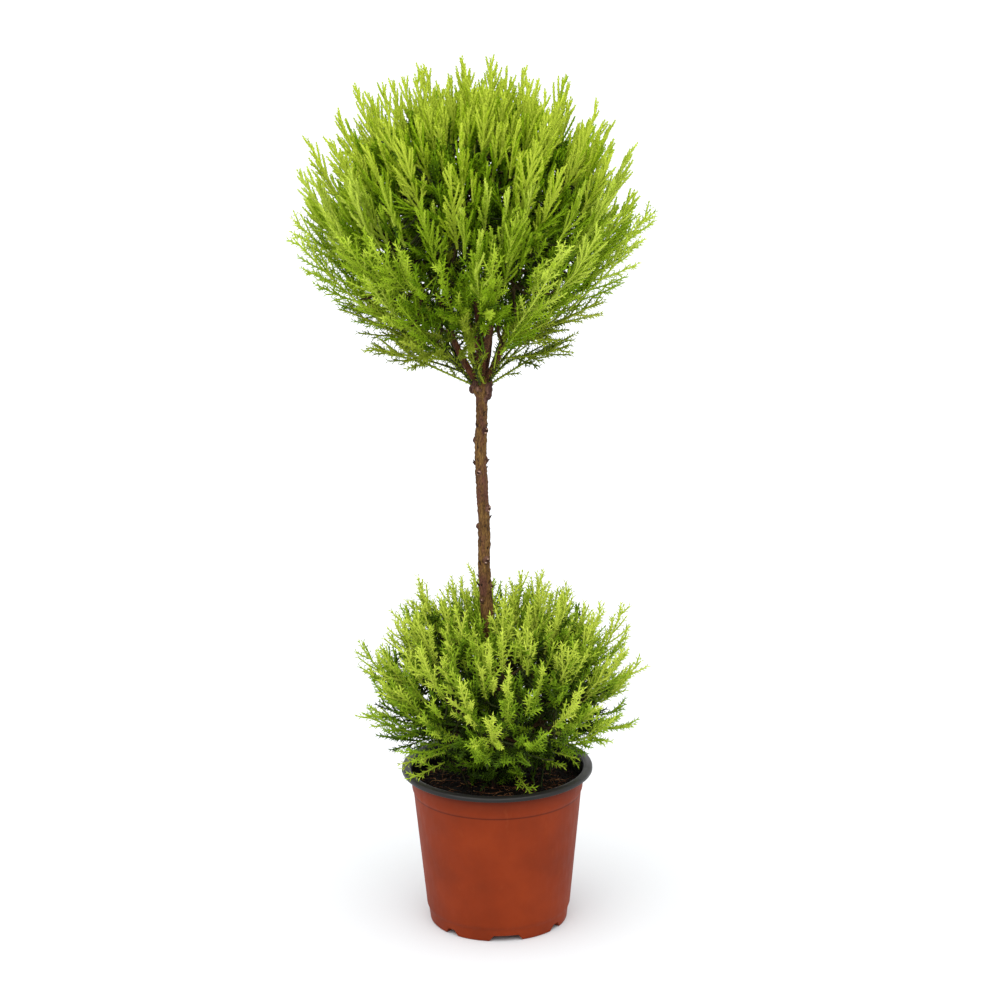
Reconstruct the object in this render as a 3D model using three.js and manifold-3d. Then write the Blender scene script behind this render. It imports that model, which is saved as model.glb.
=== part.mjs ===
// Potted lemon cypress: a ragged ball of foliage on a bare stem, over a lower tier of foliage round
// its foot, in a tapered nursery pot filled with soil. Millimetres, +Z up, front towards -Y, and the
// origin at the centre of the pot's underside.
import * as THREE from "three";
import { mergeVertices } from "three/addons/utils/BufferGeometryUtils.js";
import Module from "manifold-3d";

const wasm = await Module();
wasm.setup();

// Clearance left between neighbouring pieces, and the distance within which vertices are one
const CLEARANCE = 0.3;
const MERGE_DISTANCE = 1e-3;
const ROUNDING = 1e-4;

// Pot: heights and outer radii of the collar, the step below it, the tapered body and the foot
const POT_SIDES = 30;
const WALL = 1.8;
const RIM_TOP = 162;
const RIM_BOTTOM = 157.4;
const RIM_RADIUS = 95;
const RIM_EDGE = 1.1;
const LIP_INNER_RADIUS = 87.5;
const COLLAR_TOP_RADIUS = 86.6;
const COLLAR_FOOT_RADIUS = 85;
const COLLAR_FOOT = 139;
const BODY_TOP = 135.5;
const BODY_TOP_RADIUS = 83.6;
const BODY_FOOT = 16;
const BODY_FOOT_RADIUS = 71.8;
const FOOT_TOP = 12;
const FOOT_TOP_RADIUS = 70.1;
const FOOT_RADIUS = 68.6;
const FOOT_INNER_RADIUS = 57;
const FLOOR_UNDERSIDE = 6.5;
const FLOOR_TOP = 8.5;
const FLOOR_RADIUS = FOOT_TOP_RADIUS - 3 * WALL;
const PAD_RADIUS = 18;
const DRAFT = 1.5;

// Drain notches in the foot: a wide one at the front and back, with a narrow one at each side of it
const NOTCH_HEIGHT = 6.3;
const NOTCH_SLANT = 4.5;
const WIDE_NOTCH = 25;
const NARROW_NOTCH = 8;
const FRONT_NOTCH_TURN = 6;
const NARROW_NOTCH_TURN = 49;

// Soil, filled to a little below the rim and lower along the wall
const SOIL_TOP = 146;
const SOIL_EDGE_TOP = 143.5;
const SOIL_FLAT_RADIUS = 36;

// Trunk: its lean, its taper from the root flare, and the swollen knob where it forks
const TRUNK_SIDES = 10;
const TRUNK_FOOT = SOIL_TOP + CLEARANCE;
const TRUNK_LEAN = -12;
const LEAN_HEIGHT = 354;
const WOBBLE = 0.8;
const WOBBLE_PITCH = 120;
const FLARE_RADIUS = 9.2;
const FLARE_HEIGHT = 26;
const LOWER_RADIUS = 6.5;
const UPPER_RADIUS = 5.5;
const FORK_HEIGHT = 550;
const KNOB_RADIUS = 10;
const KNOB_HALF_HEIGHT = 12;
const KNOB_ROUNDING = 1.5;
const TRUNK_TOP = FORK_HEIGHT + 9;
const FLARE_RINGS = [0, 0.3, 0.65, 1];
const TRUNK_LENGTHS = 9;
const KNOB_RINGS = [0.25, 0.55, 0.85, 1.25];

// Limbs of the crown: a leader up the middle and a ring of boughs that leave it near the fork
const LIMB_SIDES = 6;
const LIMB_STEPS = 4;
const LEADER_TOP = 672;
const LEADER_RADII = [5.0, 3.0];
const BOUGH_AZIMUTHS = [-4, 62, 120, 184, 238, 300];
const BOUGH_STARTS = [0, 5, 4, 0, 34, 27];
const BOUGH_RADII = [3.8, 2.3];
const BOUGH_OUT = 42;
const BOUGH_TIP_HEIGHT = 666;
const BOUGH_ELBOW_OUT = 24;
const BOUGH_ELBOW_UP = 26;

// Limbs of the lower tier: short stems out of the soil round the trunk, in an outer and inner ring
const OUTER_STEMS = { count: 6, turn: 24, foot: 22, out: 45, height: 64, radii: [3.0, 2.2] };
const INNER_STEMS = { count: 5, turn: 66, foot: 15.5, out: 25, height: 80, radii: [2.7, 2.1] };
const STEM_ELBOW = { out: 0.35, up: 0.55 };
const STEM_SINK = 8;

// Foliage tiers: the reach of the shoots from each tier's heart, level, up and down, and how the
// outline rounds off between these. A sine is that of a shoot's angle over the level, and crowding
// draws shoots towards the top.
const CROWN = {
  heart: new THREE.Vector3(-19, 0, 718),
  spread: 170,
  rise: 137,
  drop: 272,
  roundAbove: 2.2,
  roundBelow: 1,
  topSine: 0.99,
  lowSine: -0.79,
  crowding: 1.4,
  lift: 0.95,
  shoots: 116,
  seed: 28,
  spray: { length: 100, halfWidth: 18 },
};
const BUSH = {
  heart: new THREE.Vector3(5, 0, 250),
  spread: 138,
  rise: 104,
  drop: 95,
  roundAbove: 2.5,
  roundBelow: 2,
  topSine: 0.93,
  lowSine: -0.42,
  crowding: 1,
  lift: 0.72,
  shoots: 60,
  seed: 35,
  spray: { length: 72, halfWidth: 15 },
};
const REACH_RANGE = [0.9, 1.07];
const AZIMUTH_JITTER = 0.35;

// Sites that share a tier's space among its masses: each mass keeps to what lies nearest its site
const TOP_SITE = { out: 0, up: 37 };
const RING_SITE = { out: 85, up: 0 };
const SKIRT_SITE = { out: 95, up: -123 };
const SKIRT_STEM_HEIGHT = FORK_HEIGHT - 5;
const SKIRT_RISE = 0.3;
const OUTER_SITE = { out: 96, up: -10 };
const INNER_SITE = { out: 40, up: 32 };
const SPACE_MARGIN = 0.25;
const SPACE_SIZE = 1200;
const LIMB_MARGIN = 0.8;
const POT_MARGIN = 1;
const FACE_SAMPLES = 4;

// Twigs, the toothed blades that stand for sprays of needles, and the dense core of a mass
const STEM_SIDES = 5;
const STEM_STEPS = 5;
const STEM_RADII = [2.2, 1.1];
const TWIG_SIDES = 3;
const TWIG_STEPS = 2;
const TWIG_RADII = [1.7, 1.0];
const BRANCH_ANGLE = 0.68;
const FORK_PLACES = { first: 0.12, last: 0.9, step: 0.06 };
const ELBOW_SHARE = 0.45;
const SPRAY_SIZES = [1, 0.82, 0.66];
const BLADE_THICKNESS = 3;
const BLADE_ROOT = 0.14;
const BLADE_NOTCH = 0.36;
const TOOTH_SWEEP = 0.94;
const TOOTH_WIDTHS = [0.86, 1];
const LAST_TOOTH = 0.5;
const SPINE_TAPER = 0.6;
const NEARLY_UPRIGHT = 0.95;
const ROLL_TRIES = 6;
const SPRAY_SINK = 0.2;
const SPRAY_SHARE = 0.7;
const SPRAY_ROOT = 12;
const CORE_SHARE = 0.6;
const CORE_SIDES = 10;
const CORE_RINGS = 6;

const UP = new THREE.Vector3(0, 0, 1);
const GOLDEN_ANGLE = Math.PI * (3 - Math.sqrt(5));

const MATERIALS = {
  terracotta: { color: 0x913a20, roughness: 0.55, metalness: 0 },
  blackPlastic: { color: 0x2b2b2c, roughness: 0.45, metalness: 0 },
  soil: { color: 0x2b2019, roughness: 1, metalness: 0 },
  bark: { color: 0x6a5734, roughness: 0.9, metalness: 0 },
  boughBark: { color: 0x5f4a2f, roughness: 0.9, metalness: 0 },
  crownGreen: { color: 0x8fb32c, roughness: 0.7, metalness: 0 },
  bushGreen: { color: 0x7fa030, roughness: 0.7, metalness: 0 },
};

const radians = THREE.MathUtils.degToRad;
const mix = THREE.MathUtils.lerp;

// A repeatable stream of numbers from 0 to 1
function seeded(seed) {
  let state = seed >>> 0;
  return () => {
    state = (state + 0x6d2b79f5) >>> 0;
    let word = Math.imul(state ^ (state >>> 15), state | 1);
    word ^= word + Math.imul(word ^ (word >>> 7), word | 61);
    return ((word ^ (word >>> 14)) >>> 0) / 4294967296;
  };
}

// Closed geometry as a solid that can be joined and cut
function toSolid(geometry) {
  const bare = new THREE.BufferGeometry();
  bare.setAttribute("position", geometry.getAttribute("position"));
  bare.setIndex(geometry.getIndex());
  const merged = mergeVertices(bare, MERGE_DISTANCE);
  const corners = merged.getIndex().array;
  const triangles = [];
  for (let i = 0; i < corners.length; i += 3) {
    const [a, b, c] = corners.slice(i, i + 3);
    if (a !== b && b !== c && c !== a) triangles.push(a, b, c);
  }
  const vertProperties = new Float32Array(merged.getAttribute("position").array);
  const triVerts = new Uint32Array(triangles);
  return new wasm.Manifold(new wasm.Mesh({ numProp: 3, vertProperties, triVerts }));
}

function toGeometry(solid) {
  const mesh = solid.getMesh();
  const geometry = new THREE.BufferGeometry();
  geometry.setAttribute("position", new THREE.BufferAttribute(mesh.vertProperties, mesh.numProp));
  geometry.setIndex(new THREE.BufferAttribute(mesh.triVerts, 1));
  geometry.computeVertexNormals();
  return geometry;
}

// The outer skin of the largest body, without loose scraps or sealed hollows
function largestBody(solid) {
  const bodies = toSolid(toGeometry(solid)).decompose();
  return bodies.reduce((best, body) => (body.volume() > best.volume() ? body : best));
}

// Whether every edge has just two faces once the vertices are rounded off
function hasCleanEdges(geometry) {
  const names = geometryPoints(geometry).map((point) => {
    return point.toArray().map((value) => Math.round(value / ROUNDING)).join();
  });
  const corners = geometry.getIndex().array;
  const faces = new Map();
  for (let i = 0; i < corners.length; i += 3) {
    const [a, b, c] = Array.from(corners.slice(i, i + 3), (corner) => names[corner]);
    if (a === b || b === c || c === a) continue;
    for (const ends of [[a, b], [b, c], [c, a]]) {
      const edge = ends.sort().join();
      faces.set(edge, (faces.get(edge) || 0) + 1);
    }
  }
  return Array.from(faces.values()).every((count) => count === 2);
}

function part(name, geometry, material) {
  const mesh = new THREE.Mesh(geometry, new THREE.MeshStandardMaterial(MATERIALS[material]));
  mesh.name = name;
  return mesh;
}

function turned(profile, sides) {
  const points = profile.map(([radius, height]) => new THREE.Vector2(radius, height));
  const geometry = new THREE.LatheGeometry(points, sides);
  geometry.rotateX(Math.PI / 2);
  return geometry;
}

function outward(azimuth, out, up) {
  return new THREE.Vector3(out * Math.cos(azimuth), out * Math.sin(azimuth), up);
}

// Pot
function outerWall() {
  return [
    [FOOT_RADIUS, 0],
    [FOOT_TOP_RADIUS, FOOT_TOP],
    [BODY_FOOT_RADIUS, BODY_FOOT],
    [BODY_TOP_RADIUS, BODY_TOP],
    [COLLAR_FOOT_RADIUS, COLLAR_FOOT],
    [COLLAR_TOP_RADIUS, RIM_BOTTOM - CLEARANCE],
  ];
}

function wallRadius(height) {
  const wall = outerWall();
  const above = Math.max(1, wall.findIndex((point) => point[1] >= height));
  const [lowRadius, low] = wall[above - 1];
  const [highRadius, high] = wall[above];
  return mix(lowRadius, highRadius, (height - low) / (high - low));
}

function notch(width, turn) {
  const shape = new THREE.Shape();
  shape.moveTo(-width / 2 - NOTCH_SLANT, -NOTCH_HEIGHT);
  shape.lineTo(width / 2 + NOTCH_SLANT, -NOTCH_HEIGHT);
  shape.lineTo(width / 2 + NOTCH_SLANT, 0);
  shape.lineTo(width / 2, NOTCH_HEIGHT);
  shape.lineTo(-width / 2, NOTCH_HEIGHT);
  shape.lineTo(-width / 2 - NOTCH_SLANT, 0);
  const inner = FOOT_INNER_RADIUS - 2 * DRAFT;
  const depth = RIM_RADIUS - inner;
  const geometry = new THREE.ExtrudeGeometry(shape, { depth, bevelEnabled: false });
  const azimuth = radians(turn - 90);
  const radial = outward(azimuth, 1, 0);
  const across = new THREE.Vector3().crossVectors(UP, radial);
  const place = new THREE.Matrix4().makeBasis(across, UP, radial);
  place.setPosition(radial.multiplyScalar(inner));
  return toSolid(geometry.applyMatrix4(place));
}

function pot() {
  const inside = outerWall().slice(1).reverse();
  const profile = [
    [0, 0],
    [PAD_RADIUS, 0],
    [PAD_RADIUS + DRAFT, FLOOR_UNDERSIDE],
    [FOOT_INNER_RADIUS - DRAFT, FLOOR_UNDERSIDE],
    [FOOT_INNER_RADIUS, 0],
    ...outerWall(),
    ...inside.map(([radius, height]) => [radius - WALL, height]),
    [FLOOR_RADIUS, FLOOR_TOP],
    [0, FLOOR_TOP],
  ];
  let solid = toSolid(turned(profile, POT_SIDES));
  for (const side of [0, 180]) {
    const turn = FRONT_NOTCH_TURN + side;
    solid = solid.subtract(notch(WIDE_NOTCH, turn));
    solid = solid.subtract(notch(NARROW_NOTCH, turn - NARROW_NOTCH_TURN));
    solid = solid.subtract(notch(NARROW_NOTCH, turn + NARROW_NOTCH_TURN));
  }
  return toGeometry(solid);
}

function potRim() {
  const inner = COLLAR_TOP_RADIUS - WALL;
  const profile = [
    [inner, RIM_BOTTOM],
    [RIM_RADIUS - RIM_EDGE, RIM_BOTTOM],
    [RIM_RADIUS, RIM_BOTTOM + RIM_EDGE],
    [RIM_RADIUS, RIM_TOP - RIM_EDGE],
    [RIM_RADIUS - RIM_EDGE, RIM_TOP],
    [LIP_INNER_RADIUS, RIM_TOP],
    [inner + RIM_EDGE, RIM_TOP - RIM_EDGE],
    [inner, RIM_BOTTOM],
  ];
  return turned(profile, POT_SIDES);
}

function soil() {
  const fit = WALL + CLEARANCE;
  const bottom = FLOOR_TOP + CLEARANCE;
  const profile = [
    [0, bottom],
    [FLOOR_RADIUS - CLEARANCE, bottom],
    [wallRadius(FOOT_TOP) - fit, FOOT_TOP],
    [wallRadius(BODY_FOOT) - fit, BODY_FOOT],
    [wallRadius(BODY_TOP) - fit, BODY_TOP],
    [wallRadius(COLLAR_FOOT) - fit, COLLAR_FOOT],
    [wallRadius(SOIL_EDGE_TOP) - fit, SOIL_EDGE_TOP],
    [SOIL_FLAT_RADIUS, SOIL_TOP],
    [0, SOIL_TOP],
  ];
  return turned(profile, POT_SIDES);
}

// Trunk
function trunkOffset(height) {
  const above = height - SOIL_TOP;
  const lean = TRUNK_LEAN * Math.sin((Math.PI / 2) * Math.min(1, above / LEAN_HEIGHT));
  return lean + WOBBLE * Math.sin((2 * Math.PI * above) / WOBBLE_PITCH);
}

function trunkRadius(height) {
  const above = height - TRUNK_FOOT;
  const taper = mix(LOWER_RADIUS, UPPER_RADIUS, above / (FORK_HEIGHT - TRUNK_FOOT));
  const flare = (FLARE_RADIUS - LOWER_RADIUS) * Math.max(0, 1 - above / FLARE_HEIGHT) ** 2;
  const toKnob = Math.min(1, Math.abs(height - FORK_HEIGHT) / KNOB_HALF_HEIGHT);
  const swelling = (KNOB_RADIUS - UPPER_RADIUS) * Math.cos((toKnob * Math.PI) / 2) ** KNOB_ROUNDING;
  return taper + flare + swelling;
}

function trunkHeights() {
  const heights = FLARE_RINGS.map((share) => TRUNK_FOOT + share * FLARE_HEIGHT);
  const knobFoot = FORK_HEIGHT - KNOB_HALF_HEIGHT;
  for (let i = 1; i <= TRUNK_LENGTHS; i += 1) {
    heights.push(mix(TRUNK_FOOT + FLARE_HEIGHT, knobFoot, i / TRUNK_LENGTHS));
  }
  for (const share of KNOB_RINGS) heights.push(knobFoot + share * KNOB_HALF_HEIGHT);
  heights.push(TRUNK_TOP);
  return heights;
}

// The trunk as rings of a turned profile, each set over to the trunk's lean
function trunk(extra) {
  const heights = trunkHeights();
  heights[heights.length - 1] += extra;
  const rings = heights.map((height) => [trunkRadius(height) + extra, height]);
  const profile = [[0, heights[0]], ...rings, [0, heights[heights.length - 1]]];
  const geometry = turned(profile, TRUNK_SIDES);
  const position = geometry.getAttribute("position");
  for (let i = 0; i < position.count; i += 1) {
    position.setX(i, position.getX(i) + trunkOffset(position.getZ(i)));
  }
  return geometry;
}

// A tapering limb with flat ends along a curve, its far end drawn out by some extra length
function limb(curve, radii, sides, steps, extra = 0) {
  const { tangents, normals, binormals } = curve.computeFrenetFrames(steps);
  const positions = [];
  const index = [];
  for (let step = 0; step <= steps; step += 1) {
    const centre = curve.getPointAt(step / steps);
    if (step === steps) centre.addScaledVector(tangents[step], extra);
    const radius = mix(radii[0], radii[1], step / steps);
    for (let side = 0; side < sides; side += 1) {
      const angle = (2 * Math.PI * side) / sides;
      const point = centre.clone();
      point.addScaledVector(normals[step], radius * Math.cos(angle));
      point.addScaledVector(binormals[step], radius * Math.sin(angle));
      positions.push(...point.toArray());
    }
  }
  for (let step = 0; step < steps; step += 1) {
    for (let side = 0; side < sides; side += 1) {
      const a = step * sides + side;
      const b = step * sides + ((side + 1) % sides);
      index.push(a, b, a + sides, b, b + sides, a + sides);
    }
  }
  const last = steps * sides;
  for (let side = 1; side < sides - 1; side += 1) {
    index.push(0, side + 1, side);
    index.push(last, last + side, last + side + 1);
  }
  const geometry = new THREE.BufferGeometry();
  geometry.setAttribute("position", new THREE.Float32BufferAttribute(positions, 3));
  geometry.setIndex(index);
  return geometry;
}

// Every limb is cut clear of the limbs placed before it, and foliage is kept clear of them all
const limbs = [];

function placeLimb(name, curve, radii, floor) {
  let solid = toSolid(limb(curve, radii, LIMB_SIDES, LIMB_STEPS));
  for (const earlier of limbs) solid = solid.subtract(earlier.grown);
  if (floor !== undefined) {
    const ground = new THREE.BoxGeometry(2 * RIM_RADIUS, 2 * RIM_RADIUS, 2 * RIM_RADIUS);
    ground.translate(0, 0, floor - RIM_RADIUS);
    solid = solid.subtract(toSolid(ground));
  }
  const wider = radii.map((radius) => radius + CLEARANCE);
  const grown = toSolid(limb(curve, wider, LIMB_SIDES, LIMB_STEPS, CLEARANCE));
  const axis = curve.getSpacedPoints(LIMB_STEPS);
  const widths = axis.map((_, step) => mix(radii[0], radii[1], step / LIMB_STEPS));
  limbs.push({ name, curve, grown, axis, widths, geometry: toGeometry(largestBody(solid)) });
}

function placeTrunk() {
  const heights = trunkHeights();
  const axis = heights.map((height) => new THREE.Vector3(trunkOffset(height), 0, height));
  const widths = heights.map(trunkRadius);
  limbs.push({ name: "trunk", grown: toSolid(trunk(CLEARANCE)), axis, widths, geometry: trunk(0) });
}

function placeCrownLimbs() {
  const fork = new THREE.Vector3(trunkOffset(FORK_HEIGHT), 0, FORK_HEIGHT);
  const leaderTip = new THREE.Vector3(CROWN.heart.x, 0, LEADER_TOP);
  const leaderElbow = new THREE.Vector3(fork.x + 1, 0, mix(FORK_HEIGHT, LEADER_TOP, 0.5));
  const leader = new THREE.QuadraticBezierCurve3(fork, leaderElbow, leaderTip);
  placeLimb("crown_leader", leader, LEADER_RADII);
  BOUGH_AZIMUTHS.forEach((turn, i) => {
    const azimuth = radians(turn);
    const start = leader.getPointAt(BOUGH_STARTS[i] / leader.getLength());
    const elbow = outward(azimuth, BOUGH_ELBOW_OUT, BOUGH_ELBOW_UP).add(start);
    const tip = outward(azimuth, BOUGH_OUT, BOUGH_TIP_HEIGHT);
    tip.x += CROWN.heart.x;
    const curve = new THREE.QuadraticBezierCurve3(start, elbow, tip);
    placeLimb(`crown_bough_${i + 1}`, curve, BOUGH_RADII);
  });
}

function placeBushStems(label, ring) {
  for (let i = 0; i < ring.count; i += 1) {
    const azimuth = radians(ring.turn) + (2 * Math.PI * i) / ring.count;
    const foot = outward(azimuth, ring.foot, SOIL_TOP - STEM_SINK);
    const tip = outward(azimuth, ring.out, SOIL_TOP + ring.height);
    const elbowOut = mix(ring.foot, ring.out, STEM_ELBOW.out);
    const elbow = outward(azimuth, elbowOut, mix(foot.z, tip.z, STEM_ELBOW.up));
    const curve = new THREE.QuadraticBezierCurve3(foot, elbow, tip);
    placeLimb(`bush_stem_${label}_${i + 1}`, curve, ring.radii, SOIL_TOP + CLEARANCE);
  }
}

// Least distance from a point to the skin of any limb
function limbDistance(point) {
  const nearest = new THREE.Vector3();
  const segment = new THREE.Line3();
  let least = Infinity;
  for (const { axis, widths } of limbs) {
    for (let i = 0; i + 1 < axis.length; i += 1) {
      segment.set(axis[i], axis[i + 1]);
      const along = segment.closestPointToPointParameter(point, true);
      segment.at(along, nearest);
      least = Math.min(least, nearest.distanceTo(point) - mix(widths[i], widths[i + 1], along));
    }
  }
  return least;
}

// Reach of a tier's outline in a direction from its heart
function reach(tier, direction) {
  const level = Math.hypot(direction.x, direction.y) / tier.spread;
  const height = direction.z > 0 ? direction.z / tier.rise : -direction.z / tier.drop;
  const power = direction.z > 0 ? tier.roundAbove : tier.roundBelow;
  return (level ** power + height ** power) ** (-1 / power);
}

// Tips of a tier's shoots, spread evenly over its outline at seeded depths, turning upwards
function shootTips(tier) {
  const random = seeded(tier.seed);
  const tips = [];
  for (let i = 0; i < tier.shoots; i += 1) {
    const sine = mix(tier.topSine, tier.lowSine, ((i + 0.5) / tier.shoots) ** tier.crowding);
    const azimuth = i * GOLDEN_ANGLE + AZIMUTH_JITTER * (random() - 0.5);
    const direction = outward(azimuth, Math.sqrt(1 - sine * sine), sine);
    const depth = mix(REACH_RANGE[0], REACH_RANGE[1], random());
    const tip = tier.heart.clone().addScaledVector(direction, depth * reach(tier, direction));
    const heading = direction.clone().addScaledVector(UP, tier.lift).normalize();
    tips.push({ tip, heading, roll: Math.PI * random() });
  }
  return tips;
}

// The masses of a tier, each with its site and the start and heading of its stem
function massesOnLimbs(tier, prefix, stemPrefix, place) {
  return limbs.filter(({ name }) => name.startsWith(stemPrefix)).map(({ curve }, i) => {
    const heading = curve.getTangentAt(1);
    const start = curve.getPointAt(1).addScaledVector(heading, CLEARANCE);
    const azimuth = Math.atan2(start.y - tier.heart.y, start.x - tier.heart.x);
    const site = outward(place.out ? azimuth : 0, place.out, place.up).add(tier.heart);
    return { name: `${prefix}_${i + 1}`, site, start, heading };
  });
}

function skirtMasses() {
  return BOUGH_AZIMUTHS.map((turn, i) => {
    const next = BOUGH_AZIMUTHS[i + 1] ?? BOUGH_AZIMUTHS[0] + 360;
    const azimuth = radians((turn + next) / 2);
    const start = new THREE.Vector3(trunkOffset(SKIRT_STEM_HEIGHT), 0, SKIRT_STEM_HEIGHT);
    const heading = outward(azimuth, 1, SKIRT_RISE).normalize();
    const site = outward(azimuth, SKIRT_SITE.out, SKIRT_SITE.up).add(CROWN.heart);
    return { name: `crown_foliage_skirt_${i + 1}`, site, start, heading, open: true };
  });
}

function nearestMass(masses, point) {
  const distance = (mass) => mass.site.distanceTo(point);
  return masses.reduce((best, mass) => (distance(mass) < distance(best) ? mass : best));
}

// How far a point lies inside a mass's own space
function depthInSpace(mass, masses, point) {
  let depth = Infinity;
  for (const other of masses) {
    if (other === mass) continue;
    const across = mass.site.clone().sub(other.site);
    const middle = mass.site.clone().add(other.site).multiplyScalar(0.5);
    depth = Math.min(depth, across.normalize().dot(point.clone().sub(middle)));
  }
  return depth;
}

// Over the rim, or well inside the pot's mouth and above the soil
function clearOfPot(points) {
  if (points.every(({ z }) => z > RIM_TOP + POT_MARGIN)) return true;
  const mouth = COLLAR_FOOT_RADIUS - 2 * WALL;
  return points.every(({ x, y, z }) => Math.hypot(x, y) < mouth && z > SOIL_TOP + POT_MARGIN);
}

function geometryPoints(geometry) {
  const position = geometry.getAttribute("position");
  const points = [];
  for (let i = 0; i < position.count; i += 1) {
    points.push(new THREE.Vector3().fromBufferAttribute(position, i));
  }
  return points;
}

// A piece is kept only where it stays in its mass's space and clear of every limb and the pot
function fits(geometry, mass, masses) {
  const points = geometryPoints(geometry);
  if (!clearOfPot(points)) return false;
  if (points.some((point) => depthInSpace(mass, masses, point) < SPACE_MARGIN)) return false;
  const corners = geometry.getIndex().array;
  for (let i = 0; i < corners.length; i += 3) {
    const [a, b, c] = Array.from(corners.slice(i, i + 3), (corner) => points[corner]);
    for (let row = 0; row <= FACE_SAMPLES; row += 1) {
      const left = a.clone().lerp(b, row / FACE_SAMPLES);
      const right = a.clone().lerp(c, row / FACE_SAMPLES);
      for (let place = 0; place <= row; place += 1) {
        const point = left.clone().lerp(right, row ? place / row : 0);
        if (limbDistance(point) < LIMB_MARGIN) return false;
      }
    }
  }
  return true;
}

// A spray of needles: a flat blade, toothed along both edges, with a raised spine and a pointed end
function blade(length, halfWidth) {
  const positions = [];
  const index = [];
  const teeth = TOOTH_WIDTHS.length;
  const pitch = length / teeth;
  const perRow = 6;
  for (let row = 0; row < teeth; row += 1) {
    const y = row * pitch;
    const spine = (BLADE_THICKNESS / 2) * mix(1, SPINE_TAPER, row / teeth);
    const notch = halfWidth * (row === 0 ? BLADE_ROOT : BLADE_NOTCH);
    const tooth = halfWidth * TOOTH_WIDTHS[row];
    const reachOut = y + TOOTH_SWEEP * pitch * (row === teeth - 1 ? LAST_TOOTH : 1);
    positions.push(0, y, spine, 0, y, -spine, notch, y, 0, -notch, y, 0);
    positions.push(tooth, reachOut, 0, -tooth, reachOut, 0);
  }
  const end = perRow * teeth;
  positions.push(0, length, 0);
  const face = (a, b, c, flip) => (flip ? index.push(a, c, b) : index.push(a, b, c));
  for (const side of [0, 1]) {
    for (const under of [0, 1]) {
      const flip = side !== under;
      for (let row = 0; row < teeth; row += 1) {
        const spine = perRow * row + under;
        const notch = perRow * row + 2 + side;
        const tooth = perRow * row + 4 + side;
        const last = row === teeth - 1;
        face(spine, notch, tooth, flip);
        face(spine, tooth, last ? end : spine + perRow, flip);
        if (!last) face(spine + perRow, tooth, notch + perRow, flip);
      }
    }
  }
  index.push(2, 0, 3, 3, 1, 2);
  const geometry = new THREE.BufferGeometry();
  geometry.setAttribute("position", new THREE.Float32BufferAttribute(positions, 3));
  geometry.setIndex(index);
  return geometry;
}

function placedBlade(root, heading, roll, length, halfWidth) {
  const flat = Math.abs(heading.z) > NEARLY_UPRIGHT ? new THREE.Vector3(1, 0, 0) : UP;
  const across = new THREE.Vector3().crossVectors(heading, flat).normalize();
  across.applyAxisAngle(heading, roll);
  const normal = new THREE.Vector3().crossVectors(across, heading);
  const place = new THREE.Matrix4().makeBasis(across, heading, normal).setPosition(root);
  return blade(length, halfWidth).applyMatrix4(place);
}

// A spray that stands out of its mass's core, or in an open mass one that suits the twig's length
function spraySize(tier, mass, start, tip, heading) {
  const { halfWidth } = tier.spray;
  let length = mass.open ? SPRAY_SHARE * start.distanceTo(tip) : SPRAY_ROOT;
  const inside = tip.clone();
  while (!mass.open && length < tier.spray.length && !insideCore(tier, inside)) {
    inside.addScaledVector(heading, -SPRAY_ROOT / 3);
    length += SPRAY_ROOT / 3;
  }
  return { length: Math.min(length, tier.spray.length), halfWidth };
}

function insideCore(tier, point) {
  const offset = point.clone().sub(tier.heart);
  return offset.length() < CORE_SHARE * reach(tier, offset.clone().normalize());
}

// The place on a stem from which a twig to a point leaves nearest the branching angle
function forkPlace(stem, point) {
  let best = { place: 0, error: Infinity };
  for (let place = FORK_PLACES.first; place < FORK_PLACES.last; place += FORK_PLACES.step) {
    const towards = point.clone().sub(stem.getPointAt(place));
    const error = Math.abs(towards.angleTo(stem.getTangentAt(place)) - BRANCH_ANGLE);
    if (error < best.error) best = { place, error };
  }
  return stem.getPointAt(best.place);
}

// A twig from a stem that turns into a heading at its end, or a straight one where that fits better
function twigTo(stem, end, heading, mass, masses) {
  const start = forkPlace(stem, end);
  const turning = end.clone().addScaledVector(heading, -ELBOW_SHARE * start.distanceTo(end));
  const straight = start.clone().lerp(end, 0.5);
  for (const elbow of [turning, straight]) {
    const curve = new THREE.QuadraticBezierCurve3(start, elbow, end);
    const twig = limb(curve, TWIG_RADII, TWIG_SIDES, TWIG_STEPS);
    if (fits(twig, mass, masses)) return twig;
  }
  return null;
}

// A spray with its end at a tip, turned about its spine until it fits and crosses no other spray
function sprayAt(tip, heading, roll, size, mass, masses) {
  const root = tip.clone().addScaledVector(heading, -size.length);
  for (let turn = 0; turn < ROLL_TRIES; turn += 1) {
    const angle = roll + (turn * Math.PI) / ROLL_TRIES;
    const geometry = placedBlade(root, heading, angle, size.length, size.halfWidth);
    if (!fits(geometry, mass, masses)) continue;
    const solid = toSolid(geometry);
    if (mass.sprays.every((other) => solid.intersect(other).isEmpty())) return solid;
  }
  return null;
}

// A twig with its spray, at full size or smaller, or nothing where neither fits
function addShoot(tier, stem, { tip, heading, roll }, mass, masses) {
  const full = spraySize(tier, mass, forkPlace(stem, tip), tip, heading);
  for (const share of SPRAY_SIZES) {
    const size = { length: share * full.length, halfWidth: share * full.halfWidth };
    const end = tip.clone().addScaledVector(heading, (SPRAY_SINK - 1) * size.length);
    const twig = twigTo(stem, end, heading, mass, masses);
    const spray = twig && sprayAt(tip, heading, roll, size, mass, masses);
    if (spray) {
      mass.twigs.push(toSolid(twig));
      mass.sprays.push(spray);
      return;
    }
  }
}

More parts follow.
